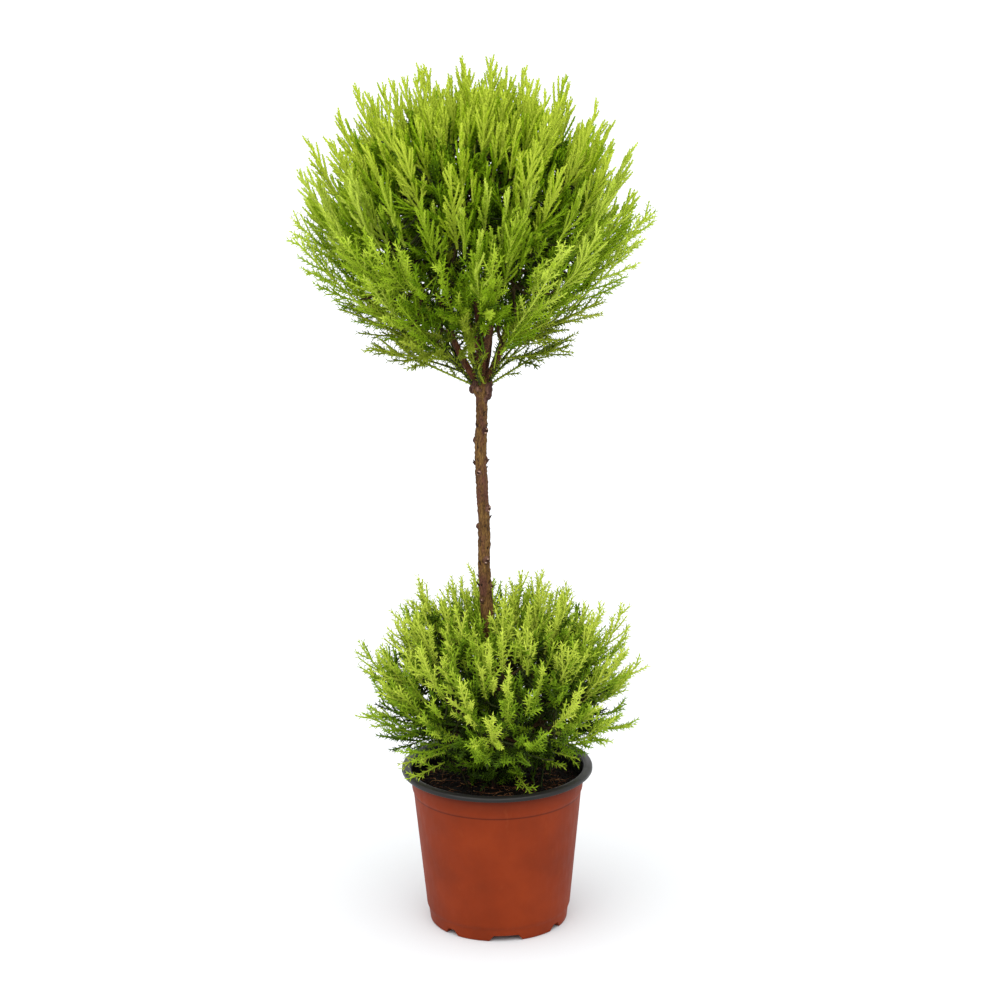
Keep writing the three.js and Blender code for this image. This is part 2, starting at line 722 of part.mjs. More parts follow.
// A tier's outline drawn in towards its heart
function drawnIn(tier) {
  const profile = [];
  for (let ring = 0; ring <= CORE_RINGS; ring += 1) {
    const angle = Math.PI * (ring / CORE_RINGS - 0.5);
    const direction = new THREE.Vector3(Math.cos(angle), 0, Math.sin(angle));
    const length = CORE_SHARE * reach(tier, direction);
    const onAxis = ring === 0 || ring === CORE_RINGS;
    profile.push([onAxis ? 0 : length * direction.x, length * direction.z]);
  }
  return toSolid(turned(profile, CORE_SIDES).translate(...tier.heart.toArray()));
}

// Everything past the border between a mass's space and a neighbour's
function pastBorder(mass, other) {
  const away = other.site.clone().sub(mass.site).normalize();
  const face = mass.site.clone().add(other.site).multiplyScalar(0.5);
  face.addScaledVector(away, SPACE_SIZE / 2 - SPACE_MARGIN);
  const geometry = new THREE.BoxGeometry(SPACE_SIZE, SPACE_SIZE, SPACE_SIZE);
  geometry.applyQuaternion(new THREE.Quaternion().setFromUnitVectors(UP, away));
  return toSolid(geometry.translate(...face.toArray()));
}

// Dense middle of a mass: its share of the drawn-in outline, cut clear of the limbs
function core(tier, mass, masses) {
  let solid = drawnIn(tier);
  for (const other of masses) {
    if (other !== mass) solid = solid.subtract(pastBorder(mass, other));
  }
  for (const { grown } of limbs) solid = solid.subtract(grown);
  return solid;
}

// Core, twigs and sprays as one solid clear of the trunk, less one spray where it fuses badly
function fused(body, sprays) {
  for (let skipped = -1; skipped < sprays.length; skipped += 1) {
    const kept = sprays.filter((_, i) => i !== skipped);
    const solid = wasm.Manifold.union([...body, ...kept]).subtract(limbs[0].grown);
    const geometry = toGeometry(largestBody(solid));
    if (hasCleanEdges(geometry)) return geometry;
  }
  throw new Error("a mass of foliage does not fuse into one clean solid");
}

// The stem of a mass, from its bough's tip or the trunk to the spray at the mass's furthest point
function stemOf(tier, mass, masses) {
  const out = mass.site.clone().sub(tier.heart).normalize();
  const apex = tier.heart.clone().addScaledVector(out, reach(tier, out));
  const heading = out.clone().addScaledVector(UP, tier.lift).normalize();
  const size = spraySize(tier, mass, mass.start, apex, heading);
  const end = apex.clone().addScaledVector(heading, (SPRAY_SINK - 1) * size.length);
  const bend = end.distanceTo(mass.start) / 3;
  const leaving = mass.start.clone().addScaledVector(mass.heading, bend);
  const arriving = end.clone().addScaledVector(heading, -bend);
  const stem = new THREE.CubicBezierCurve3(mass.start, leaving, arriving, end);
  mass.twigs.push(toSolid(limb(stem, STEM_RADII, STEM_SIDES, STEM_STEPS)));
  const spray = sprayAt(apex, heading, 0, size, mass, masses);
  if (spray) mass.sprays.push(spray);
  return stem;
}

// One mass: twigs that leave its stem for the tips in its space, with sprays fused on
function foliage(tier, mass, masses, shoots) {
  mass.twigs = [];
  mass.sprays = [];
  const stem = stemOf(tier, mass, masses);
  for (const shoot of shoots) {
    if (nearestMass(masses, shoot.tip) === mass) addShoot(tier, stem, shoot, mass, masses);
  }
  const body = mass.open ? mass.twigs : [...mass.twigs, core(tier, mass, masses)];
  return fused(body, mass.sprays);
}

function addFoliage(group, tier, masses, material) {
  const shoots = shootTips(tier);
  for (const mass of masses) {
    group.add(part(mass.name, foliage(tier, mass, masses, shoots), material));
  }
}

placeTrunk();
placeCrownLimbs();
placeBushStems("outer", OUTER_STEMS);
placeBushStems("inner", INNER_STEMS);

const plant = new THREE.Group();
plant.add(part("pot", pot(), "terracotta"));
plant.add(part("pot_rim", potRim(), "blackPlastic"));
plant.add(part("soil", soil(), "soil"));
for (const { name, geometry } of limbs) {
  plant.add(part(name, geometry, name === "trunk" ? "bark" : "boughBark"));
}

const crownMasses = [
  ...massesOnLimbs(CROWN, "crown_foliage_top", "crown_leader", TOP_SITE),
  ...massesOnLimbs(CROWN, "crown_foliage_ring", "crown_bough", RING_SITE),
  ...skirtMasses(),
];
const bushMasses = [
  ...massesOnLimbs(BUSH, "bush_foliage_outer", "bush_stem_outer", OUTER_SITE),
  ...massesOnLimbs(BUSH, "bush_foliage_inner", "bush_stem_inner", INNER_SITE),
];
addFoliage(plant, CROWN, crownMasses, "crownGreen");
addFoliage(plant, BUSH, bushMasses, "bushGreen");

export default plant;
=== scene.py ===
import math

import bpy
import numpy as np
from mathutils import Matrix, Vector, noise


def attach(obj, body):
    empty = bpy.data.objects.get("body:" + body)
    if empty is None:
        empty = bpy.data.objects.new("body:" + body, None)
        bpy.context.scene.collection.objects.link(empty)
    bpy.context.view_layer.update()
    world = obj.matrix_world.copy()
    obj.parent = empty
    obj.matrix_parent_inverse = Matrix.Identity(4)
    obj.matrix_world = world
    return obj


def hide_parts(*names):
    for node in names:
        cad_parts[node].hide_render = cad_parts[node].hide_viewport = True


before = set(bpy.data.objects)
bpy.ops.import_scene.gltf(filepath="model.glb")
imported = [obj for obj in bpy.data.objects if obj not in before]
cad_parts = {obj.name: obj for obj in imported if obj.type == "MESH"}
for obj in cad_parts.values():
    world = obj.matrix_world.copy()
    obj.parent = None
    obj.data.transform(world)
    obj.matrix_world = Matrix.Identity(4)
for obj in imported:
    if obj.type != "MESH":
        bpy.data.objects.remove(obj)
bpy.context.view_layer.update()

# Lengths are in millimetres, +Z up, front towards -Y, and become metres as meshes are made
MM = 0.001
UP = Vector((0, 0, 1))
TURN = 2 * math.pi
GOLDEN_ANGLE = math.pi * (3 - math.sqrt(5))
WORD = 0xFFFFFFFF

# A direction counts as steep from this rise
STEEP = 0.8

# Pot: heights and outer radii of the collar, the step below it, the tapered body and the foot
POT_SIDES = 144
WALL = 1.8
RIM_TOP = 162
RIM_BOTTOM = 157.4
RIM_RADIUS = 95
LIP_INNER_RADIUS = 87.5
COLLAR_TOP_RADIUS = 86.6
COLLAR_FOOT_RADIUS = 85
COLLAR_FOOT = 139
BODY_TOP = 135.5
BODY_TOP_RADIUS = 83.6
BODY_FOOT = 16
BODY_FOOT_RADIUS = 71.8
FOOT_TOP = 12
FOOT_TOP_RADIUS = 70.1
FOOT_RADIUS = 68.6
FOOT_INNER_RADIUS = 57
FLOOR_UNDERSIDE = 6.5
FLOOR_TOP = 8.5
PAD_RADIUS = 18
DRAFT = 1.5
CORNER = 1.6
NOTCH_HEIGHT = 6.3
NOTCH_SLANT = 4.5
WIDE_NOTCH = 25
NARROW_NOTCH = 8
FRONT_NOTCH_TURN = 6
NARROW_NOTCH_TURN = 49

# Edges of the pot: rounding of the corners, and the bands of painted shade at the step and under the rim
CORNER_SHARE = 0.45
CORNER_STEPS = 4
AXIS_RADIUS = 0.01
SHARP_EDGE = math.radians(32)
CREASE_HALF = 4
GAP_SHADE = 8

# Rolled rim: its reach down the inside, and steps from its inner, outer top and outer bottom edges
RIM_TUCK = 5
RIM_ROUNDING = 1.4
LIP_STEPS = ((-1, -0.8), (1.5, 0))
ROLL_STEPS = ((-1.2, -0.5), (0, -2))
UNDER_STEPS = ((0, 0), (-1.2, -0.2), (-2, 1))

# Depths under the rim's top between which its black turns paler, a painted sheen where the top catches the
# light
PAINTED_SHEEN_DEPTHS = (2.4, 0.6)

# Soil: a low mound with lumps and grain, crumbs and dead fibres lying loose on it
SOIL_TOP = 146
SOIL_EDGE_TOP = 143.5
SOIL_FLAT_RADIUS = 36
SOIL_RINGS = 70
SOIL_SECTORS = 180
SOIL_CROWDING = 0.8
SOIL_RELIEF = 2.2
SOIL_LUMPS = 0.09
SOIL_GRAIN = 0.45
SOIL_SKIRT = 4
SOIL_SEED = 4
CRUMBS = 900
CRUMB_SIZES = (0.6, 2.0)
CRUMB_SHAPES = (0.5, 1.2)
CRUMB_RAGGEDNESS = 0.25
CRUMB_EDGE = 4
OCTANTS = ((0, 1, 2), (1, 3, 2), (3, 4, 2), (4, 0, 2), (1, 0, 5), (3, 1, 5), (4, 3, 5), (0, 4, 5))
FIBRES = 300
FIBRE_LENGTHS = (5, 24)
FIBRE_RADII = (0.18, 0.42)
FIBRE_ARCH = (0.6, 2.5)
FIBRE_END_LIFT = (0, 0.8)
FIBRE_TURN = 0.7
FIBRE_TAPER = 0.6
FIBRE_SIDES = 4
FIBRE_EDGES = (6, 3)

# Trunk: its lean, its taper from the root flare, and the swollen knob where it forks
TRUNK_FOOT = 146.3
TRUNK_LEAN = -12
LEAN_HEIGHT = 354
WOBBLE = 0.8
WOBBLE_PITCH = 120
FLARE_RADIUS = 9.2
FLARE_HEIGHT = 26
LOWER_RADIUS = 6.5
UPPER_RADIUS = 5.5
FORK_HEIGHT = 550
KNOB_RADIUS = 10
KNOB_HALF_HEIGHT = 12
KNOB_ROUNDING = 1.5
TRUNK_TOP = 559
TRUNK_SIDES = 40
TRUNK_RINGS = 360
TRUNK_SEED = 6

# Cut stubs, knots and lumps on the trunk, rooted at a share of its radius
ROOTED = 0.8
SPURS = 46
SPUR_HEIGHTS = (250, FORK_HEIGHT - 4)
SPUR_LENGTHS = (2.5, 6)
SPUR_WIDTHS = (0.7, 1.4)
SPUR_TAPER = 0.4
SPUR_MESH = (8, 6)
KNOTS = 17
KNOT_HEIGHTS = (258, FORK_HEIGHT - 16)
KNOT_SIZES = (2.1, 3.4)
SLIVER_TURN = 0.16
BURLS = 34
BURL_HEIGHTS = (-13, 8)
BURL_SIZES = (1.6, 4.4)
NODULE_RINGS = 4
NODULE_SIDES = 8

# Limbs of the crown and of the lower tier
LEADER_TOP = 672
LEADER_RADII = (5.0, 3.0)
BOUGH_AZIMUTHS = (-4, 62, 120, 184, 238, 300)
BOUGH_STARTS = (0, 5, 4, 0, 34, 27)
BOUGH_RADII = (3.8, 2.3)
BOUGH_OUT = 42
BOUGH_TIP_HEIGHT = 666
BOUGH_ELBOW_OUT = 24
BOUGH_ELBOW_UP = 26
OUTER_STEMS = {"count": 6, "turn": 24, "foot": 22, "out": 45, "height": 64, "radii": (3.0, 2.2)}
INNER_STEMS = {"count": 5, "turn": 66, "foot": 15.5, "out": 25, "height": 80, "radii": (2.7, 2.1)}
STEM_ELBOW_OUT = 0.35
STEM_ELBOW_UP = 0.55
STEM_SINK = 8
LIMB_SIDES = 16
LIMB_RINGS = 44

# Bark: scale across and along and the place in the noise, then heights as shares of the limb's radius
CRACKS = (0.75, 0.13, 0)
FLAKES = (0.5, 0.45, 40)
SWELLINGS = (0.12, 0.05, 80)
CRACK_WIDTH = 0.4
CRACK_DEPTH = 0.14
FLAKE_HEIGHT = 0.12
SWELLING_HEIGHT = 0.13
BARK_SINK = 0.08

# Foliage tiers, crown and bush: reach from the tier's heart, how the outline rounds off, and its shoots
TIERS = {
    "heart": (Vector((-19, 0, 718)), Vector((5, 0, 250))),
    "spread": (170, 138),
    "rise": (137, 104),
    "drop": (272, 95),
    "round_above": (2.2, 2.5),
    "round_below": (1, 2),
    "lift": (0.95, 0.72),
    "low_lift": (1, 0.4),
    "longest": (100, 72),
    "draw_seed": (15, 16),
    "shoots": (116, 60),
    "sines": ((0.99, -0.79), (0.93, -0.42)),
    "crowding": (1.4, 1),
    "seed": (28, 35),
    "range": ((0.9, 1.07), (0.9, 1.07)),
    "sweep": (1.15, 1.05),
    "fine_shoots": (430, 370),
    "fine_sines": ((0.99, -0.84), (0.995, -0.28)),
    "fine_crowding": (1.0, 0.95),
    "fine_seed": (51, 77),
    "fine_range": ((0.52, 0.95), (0.52, 0.92)),
    "fine_sweep": (1.35, 1.4),
    "shade_shoots": (640, 330),
    "shade_sines": ((-0.62, 0.95), (-0.98, 0.7)),
    "shade_depth": (0.76, 0.82),
    "shade_tints": ((0.22, 0.6), (0.03, 0.62)),
    "tint": (0.48, 0.45),
    "low_from": (26, 38),
    "low_span": (120, 62),
    "low_shade": (0.42, 0.88),
    "low_reach": (math.inf, 148),
}
CROWN, BUSH = ({fact: row[i] for fact, row in TIERS.items()} for i in range(2))
SHOOT_FACTS = ("shoots", "sines", "crowding", "seed", "range", "sweep")
CLEARANCE = 0.3

# Shoots lift in full above the second of these sines of elevation, and by low_lift below the first
LIFT_SINES = (-0.3, 0.5)

# Tints: lighter towards the outline, lighter towards the top as painted light from above, and darker low
# down as painted shade, which fades out at low_reach
FULL_TINT = 0.999
TIP_DEPTH = 0.5
OUTER_TINT = 0.5
PAINTED_TOP_LIGHT = 0.12
TINT_SCATTER = 0.09
LOW_FADE = 60

# Finer shoots, shaded ones inside a tier, and the open masses of the crown
FINE_LENGTHS = (0.6, 0.95)
FINE_SIZES = (0.75, 1)
SHADE_LENGTHS = (30, 55)
SHADE_LIGHT = (0.65, 1)
SHADE_SCATTER = 0.5
SHADE_SIZE = 0.7
OPEN_DEPTH = 0.78
OPEN_SLIMNESS = 0.7
OPEN_TINT = 0.5

# Tips of the sprays that hang over the soil and the rim
HANGING_TIPS = (
    (-97, -12, 167),
    (-88, -50, 166),
    (32, -72, 158),
    (80, -18, 173),
    (66, -34, 170),
    (84, 44, 176),
    (-38, 88, 170),
    (46, 82, 168),
)
HANGING_LENGTH = 52
HANGING_FALL = 0.22
HANGING_TINTS = (0.74, 0.92)

# Sprays along the limbs: first place, spacing, lengths, tints, and what the limb's tip adds to the tint;
# the dark tints are painted shade inside the tier, lighter towards the limb's tip
BOUGH_SPRAYS = {"first": 0.34, "spacing": 14, "lengths": (38, 70), "tints": (0.05, 0.42), "tip_tint": 0.12}
STEM_SPRAYS = {"first": 0.14, "spacing": 10, "lengths": (30, 56), "tints": (0.06, 0.4), "tip_tint": 0.36}
LIMB_SPRAY_TURN = 1.1
LIMB_SPRAY_RISES = (0.3, 1.2)
LIMB_SPRAY_SIZE = 0.85

# Lowest sprays of the crown, straight from the fork: azimuth of the foot, and tip
FORK_SPRAYS = (
    (180, (-117, -8, 589)),
    (0, (81, 4, 600)),
    (40, (62, 58, 604)),
    (92, (-15, 92, 602)),
    (138, (-86, 66, 600)),
    (300, (-25, -20, 588)),
)
FORK_SPRAY_FOOT = 551
FORK_SPRAY_SEAT = 0.8
FORK_TINT = 0.5

# The view of the bare boughs in front of the fork, which stays open
FORK_VIEW_HALF_WIDTH = 34
FORK_VIEW_DROP = 20
FORK_VIEW_RISE = 54
FORK_VIEW_SLOPE = 0.29

# Masses: their sites, out and up from the tier's heart, their stems and the twigs that fork off
AZIMUTH_JITTER = 0.35
TOP_SITE = (0, 37)
RING_SITE = (85, 0)
SKIRT_SITE = (95, -123)
SKIRT_STEM_HEIGHT = 545
SKIRT_RISE = 0.62
OUTER_SITE = (96, -10)
INNER_SITE = (40, 32)
STEM_RADII = (2.2, 1.1)
STEM_POINTS = 9
TWIG_RADII = (1.7, 1.0)
FINE_TWIG_RADII = (1.1, 0.7)
BRANCH_ANGLE = 0.68
FORK_PLACES = np.arange(0.12, 0.9, 0.06)
ELBOW_SHARE = 0.45
SPRAY_SINK = 0.2
SPRAY_SHARE = 0.7
SPRAY_ROOT = 12
CORE_SHARE = 0.6
NEAR_FORK = 1 / 120
PLUME_SHARE = 0.85
TWIG_SHADE = 0.15

# Room that branchlets keep over the rim, inside it, over the soil and round the trunk
OVER_RIM = 1
RIM_GAP = 7
SOIL_GAP = 2
TRUNK_GAP = 1.5

# Plumes of the crown's top, its low sides and the bush: branchlets counted from the shoot's tip
PLUMES = {
    "first": (8, 10, 8),
    "pitch": (5.8, 8.4, 7.5),
    "least": (8, 10, 9),
    "longest": (38, 42, 30),
    "angle": (0.38, 0.5, 0.5),
    "forward": (0.6, 0.4, 0.5),
    "flatness": (0.75, 0.55, 0.8),
    "bend": (-0.09, -0.06, -0.16),
    "side_from": (30, 32, 28),
    "side_pitch": (11, 12, 11),
    "side_share": (0.36, 0.36, 0.38),
}
CROWN_PLUME, LOW_PLUME, BUSH_PLUME = ({fact: row[i] for fact, row in PLUMES.items()} for i in range(3))
SLENDER_PLUME = LOW_PLUME | {"first": 16, "pitch": 18, "longest": 24, "bend": 0.09}
HANGING_PLUME = BUSH_PLUME | {"first": 9, "pitch": 9, "longest": 15, "angle": 0.75, "bend": 0}

# Branchlets: how little they point down, how they lengthen from the tip, their scatter, and side ones
UNDERSIDE = 0.4
BRANCHLET_GROWTH = 0.5
SWAY = 0.035
LEADER_THICKNESS = 1.25
PLUME_FOOT = 0.96
BRANCHLET_LENGTHS = (0.55, 1.2)
BRANCHLET_SHADE = 0.25
BRANCHLET_SCATTER = 0.1
PITCH_RANGE = (0.7, 1.3)
ANGLE_RANGE = (0.8, 1.25)
SIDE_LIFT = 0.12
SIDE_FOOT = 0.8
SIDE_LEAST = 4
SIDE_LENGTHS = (0.7, 1.2)
SIDE_TILTS = (0.8, 1.2)
SIDE_SCATTER = 0.5
SIDE_FORWARD = 0.4
SIDE_TINT = 0.05
SIDE_CLOSENESS = 0.6

# Needles: length, half width, angle to the branchlet, spacing of the pairs, and branchlet radius
CORD = (3.9, 0.95, 0.5, 2.3, 1.2)
BRISTLE = (5.3, 0.74, 0.95, 2.9, 0.95)
FEATHER = (5.6, 0.74, 0.92, 3.1, 0.95)
SPIKE = (5.8, 0.74, 1.0, 3.3, 0.9)
SHADE = (5.2, 1.0, 0.75, 3.4, 1.1)
NEEDLE_WIDEST = 0.4
NEEDLE_FOLD = 0.9
NEEDLE_SINK = 0.35
NEEDLE_SEED = 9
LEAST_PAIRS = 3
FIRST_PAIR = 0.6
TIP_CLOSING = 3
TIP_FURLING = 0.6
TIP_SHORTENING = 0.1
CORE_RINGS = (0, 0.5, 0.93)
CORE_SIDES = 3
CORE_TAPER = 0.85
TWIG_RINGS = (0, 0.25, 0.5, 0.75)
TWIG_SIDES = 5

# Greens from deep shade to the youngest tips, dealt out by spray
LIME = ("#2f5002", "#476b03", "#5f8805", "#7aa20b", "#96b71a", "#aec62c", "#c2d443")
FRESH = ("#344f07", "#4d6b09", "#67880d", "#81a115", "#99b526", "#b0c73a", "#c4d750")
LEAF = ("#3c4f11", "#5a6b18", "#78871f", "#90a02a", "#a1b135", "#b6c34a", "#cad260")
BUSH_LEAF = ("#25360a", "#40580f", "#5a7813", "#75941b", "#90ad28", "#a9bf39", "#c0d04c")
PALETTES = {"lime": LIME, "fresh": FRESH, "leaf": LEAF, "bush": BUSH_LEAF}

# Kinds of spray: how it branches, the needles that it bears, and its greens
TOP_CORDS = (CROWN_PLUME, CORD, "lime")
CORDS = (CROWN_PLUME, CORD, "fresh")
SIDE_WISPS = (LOW_PLUME, BRISTLE, "fresh")
WISPS = (LOW_PLUME, BRISTLE, "leaf")
SLENDERS = (SLENDER_PLUME, BRISTLE, "leaf")
BRUSHES = (BUSH_PLUME, FEATHER, "bush")
DROOPERS = (HANGING_PLUME, SPIKE, "bush")
CROWN_SHADE = (CROWN_PLUME, SHADE, "fresh")
BUSH_SHADE = (BUSH_PLUME, SHADE, "bush")

# Kinds of spray by height over a tier's heart, from the top down
CROWN_KINDS = ((62, TOP_CORDS), (6, CORDS), (-75, SIDE_WISPS), (-math.inf, WISPS))
BUSH_KINDS = ((-math.inf, BRUSHES),)

# Studio light: an even white sky and one broad sun, high in front
SKY_STRENGTH = 1.0
SUN_STRENGTH = 2.8
SUN_SPREAD = 80
SUN_PLACE = (-0.04, -0.4, 1)
FLOOR_HALF_SIZE = 30
NOISE_ROUGHNESS = 0.55

# Camera, from the photograph's perspective
CAMERA_PLACE = Vector((0, -3000, 1297.6))
CAMERA_LENS = 115.47
CAMERA_SENSOR = 36
CAMERA_FAR = 100
CAMERA_PITCH = math.radians(16.037)
CAMERA_YAW = math.radians(0.105)
CAMERA_ROLL = math.radians(-0.583)


def mix(a, b, share):
    return a + (b - a) * share


def within(value):
    """A value held between 0 and 1."""
    return min(1, max(0, value))


def bent(start, middle, end, share):
    """The point at a share of a quadratic curve."""
    return (1 - share) ** 2 * start + 2 * share * (1 - share) * middle + share**2 * end


def unit(rows):
    return rows / np.linalg.norm(rows, axis=1)[:, None]


def polar(out, turn):
    return out * math.cos(turn), out * math.sin(turn)


def outward(azimuth, out, up):
    return Vector((*polar(out, azimuth), up))


def linear(code):
    """The linear colour of a hex code."""
    parts = [int(code[i : i + 2], 16) / 255 for i in (1, 3, 5)]
    return [c / 12.92 if c <= 0.04045 else ((c + 0.055) / 1.055) ** 2.4 for c in parts] + [1]


def seeded(seed):
    """A repeatable stream of numbers from 0 to 1, the same as in the part's source."""
    state = seed
    while True:
        state = (state + 0x6D2B79F5) & WORD
        word = ((state ^ (state >> 15)) * (state | 1)) & WORD
        word ^= (word + (word ^ (word >> 7)) * (word | 61)) & WORD
        yield ((word ^ (word >> 14)) & WORD) / 2**32


def bezier(controls, places):
    points = [np.array(control, float)[None, :] for control in controls]
    share = np.asarray(places, float)[:, None]
    while len(points) > 1:
        points = [a + (b - a) * share for a, b in zip(points, points[1:])]
    return points[0]


def evenly(controls, places):
    """Points of a Bezier curve at shares of its length, and the curve's directions there."""
    fine = bezier(controls, np.linspace(0, 1, 201))
    steps = np.linalg.norm(np.diff(fine, axis=0), axis=1)
    along = np.concatenate([[0], np.cumsum(steps)])
    wanted = np.asarray(places, float) * along[-1]
    points = np.column_stack([np.interp(wanted, along, fine[:, k]) for k in range(3)])
    slopes = np.gradient(fine, along, axis=0)
    tangents = np.column_stack([np.interp(wanted, along, slopes[:, k]) for k in range(3)])
    return points, unit(tangents)


# Meshes
def placed(name, data):
    """A new object in the scene."""
    made = bpy.data.objects.new(name, data)
    bpy.context.scene.collection.objects.link(made)
    return made


def mesh_piece(name, vertices, faces, materials, slot, nodes, smooth=True):
    """A mesh piece from arrays of points and of faces with one number of corners."""
    mesh = bpy.data.meshes.new(name)
    corners = faces.shape[1]
    mesh.vertices.add(len(vertices))
    mesh.vertices.foreach_set("co", (np.asarray(vertices) * MM).astype(np.float32).ravel())
    mesh.loops.add(faces.size)
    mesh.loops.foreach_set("vertex_index", faces.astype(np.int32).ravel())
    mesh.polygons.add(len(faces))
    mesh.polygons.foreach_set("loop_start", np.arange(0, faces.size, corners, dtype=np.int32))
    mesh.polygons.foreach_set("use_smooth", np.full(len(faces), smooth))
    for made in materials:
        mesh.materials.append(made)
    mesh.update(calc_edges=True)
    piece = placed(name, mesh)
    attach(piece, "root")
    if nodes:
        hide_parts(*nodes)
    return piece


def joined(parts):
    """Several (vertices, faces) as one."""
    vertices = []
    faces = []
    count = 0
    for points, corners in parts:
        vertices.append(points)
        faces.append(corners + count)
        count += len(points)
    return np.concatenate(vertices), np.concatenate(faces)


def ring_quads(rings, sides):
    """Quads between rings of points that follow one another."""
    side = np.arange(sides)
    after = (side + 1) % sides
    quads = np.column_stack([side, after, after + sides, side + sides])
    return np.concatenate([quads + ring * sides for ring in range(rings - 1)])


def halves(quads):
    """Two triangles for each quad."""
    return np.concatenate([quads[:, [0, 1, 2]], quads[:, [0, 2, 3]]])


def closed_rings(rows, sides):
    """A mesh of rings that follow one another, closed at both ends on the last two points."""
    foot = len(rows) - 2
    last = foot - sides
    side = np.arange(sides)
    after = (side + 1) % sides
    ends = [
        np.column_stack([np.full(sides, foot), after, side]),
        np.column_stack([np.full(sides, foot + 1), last + side, last + after]),
    ]
    faces = np.concatenate([halves(ring_quads(foot // sides, sides)), *ends])
    return np.array([tuple(row) for row in rows]), faces


def turned(profile, sides):
    """Points and quads of a profile of (radius, height) turned round the Z axis."""
    turns = np.linspace(0, TURN, sides, endpoint=False)
    rows = [np.column_stack([r * np.cos(turns), r * np.sin(turns), np.full(sides, z)]) for r, z in profile]
    return np.concatenate(rows), ring_quads(len(profile), sides)


def rounded(profile, radius):
    """A profile with its inner corners rounded off."""
    points = [np.array(point, float) for point in profile]
    made = [points[0]]
    for before, corner, after in zip(points, points[1:], points[2:]):
        back = before - corner
        on = after - corner
        back_length = np.linalg.norm(back)
        on_length = np.linalg.norm(on)
        cut = min(radius, CORNER_SHARE * back_length, CORNER_SHARE * on_length)
        start = corner + back / back_length * cut
        end = corner + on / on_length * cut
        made += [bent(start, corner, end, share) for share in np.linspace(0, 1, CORNER_STEPS + 1)]
    return made + [points[-1]]


def square_to(tangents, steep):
    """Two directions square to each tangent, worked out from X where it is steep and from Z elsewhere."""
    aside = np.where(steep[:, None], [[1.0, 0, 0]], [[0.0, 0, 1]])
    normals = unit(np.cross(tangents, aside))
    return normals, np.cross(tangents, normals)


def ends_of(rows):
    """Start, middle and end of the curves that rows begin with."""
    return rows[:, 0:3], rows[:, 3:6], rows[:, 6:9]


def tubes(start, middle, end, first, last, shares, sides):
    """Tapering tubes along many quadratic curves at once, with rings at given shares, closed at the end."""
    chord = unit(end - start)
    normal, binormal = square_to(chord, np.abs(chord[:, 2]) >= STEEP)
    rows = []
    for share in shares:
        centre = bent(start, middle, end, share)
        radius = mix(first, last, share)[:, None]
        for turn in TURN * np.arange(sides) / sides:
            rows.append(centre + radius * (math.cos(turn) * normal + math.sin(turn) * binormal))
    rows.append(end)
    side = np.arange(sides)
    low = (len(shares) - 1) * sides
    tip = np.full(sides, low + sides)
    cap = np.column_stack([low + side, low + (side + 1) % sides, tip])
    pattern = np.concatenate([halves(ring_quads(len(shares), sides)), cap])
    feet = np.arange(len(start)) * len(rows)
    faces = (pattern[None] + feet[:, None, None]).reshape(-1, 3)
    return np.stack(rows, axis=1).reshape(-1, 3), faces


# Materials
class Finish:
    """A material round one Principled shader, with short ways to add nodes to it."""

    def __init__(self, name, roughness, specular):
        self.made = bpy.data.materials.new(name)
        self.made.use_nodes = True
        self.tree = self.made.node_tree
        self.shader = self.tree.nodes["Principled BSDF"]
        self.shader.inputs["Roughness"].default_value = roughness
        self.shader.inputs["Specular IOR Level"].default_value = specular

    def node(self, kind, links=None, **values):
        made = self.tree.nodes.new("ShaderNode" + kind)
        for key, value in values.items():
            socket = key.replace("_", " ")
            if socket in made.inputs:
                made.inputs[socket].default_value = value
            else:
                setattr(made, key, value)
        for socket, source in (links or {}).items():
            self.tree.links.new(source, made.inputs[socket])
        return made

    def place(self, scale):
        """Object coordinates in stretched metres."""
        where = self.node("TexCoord").outputs["Object"]
        return self.node("Mapping", {"Vector": where}, Scale=scale).outputs["Vector"]

    def height(self):
        """The height over the floor, in metres."""
        return self.node("SeparateXYZ", {"Vector": self.place((1, 1, 1))}).outputs["Z"]

    def noise(self, scale, detail, stretch=(1, 1, 1)):
        links = {"Vector": self.place(stretch)}
        made = self.node("TexNoise", links, Scale=scale, Detail=detail, Roughness=NOISE_ROUGHNESS)
        return made.outputs["Fac"]

    def ramp(self, source, stops):
        """A colour ramp of (place, hex code) stops."""
        made = self.node("ValToRGB", {"Fac": source})
        ramp = made.color_ramp
        while len(ramp.elements) < len(stops):
            ramp.elements.new(0.5)
        for element, (place, code) in zip(ramp.elements, stops):
            element.position = place
            element.color = linear(code)
        return made.outputs["Color"]

    def blend(self, a, b, share, mode="MIX"):
        made = self.node("Mix", data_type="RGBA", blend_type=mode)
        factor, first, second = made.inputs[0], made.inputs[6], made.inputs[7]
        for socket, source in ((factor, share), (first, a), (second, b)):
            if isinstance(source, bpy.types.NodeSocket):
                self.tree.links.new(source, socket)
            elif isinstance(source, str):
                socket.default_value = linear(source)
            else:
                socket.default_value = source
        return made.outputs[2]

    def span(self, source, low, high, to_low=0, to_high=1):
        made = self.node("MapRange", {"Value": source})
        for socket, value in zip(made.inputs[1:5], (low, high, to_low, to_high)):
            socket.default_value = value
        return made.outputs["Result"]

    def colour(self, source):
        self.tree.links.new(source, self.shader.inputs["Base Color"])

    def rough(self, source, low, high):
        self.tree.links.new(self.span(source, 0.25, 0.75, low, high), self.shader.inputs["Roughness"])

    def bump(self, source, strength, depth):
        made = self.node("Bump", {"Height": source}, Strength=strength, Distance=depth * MM)
        self.tree.links.new(made.outputs["Normal"], self.shader.inputs["Normal"])


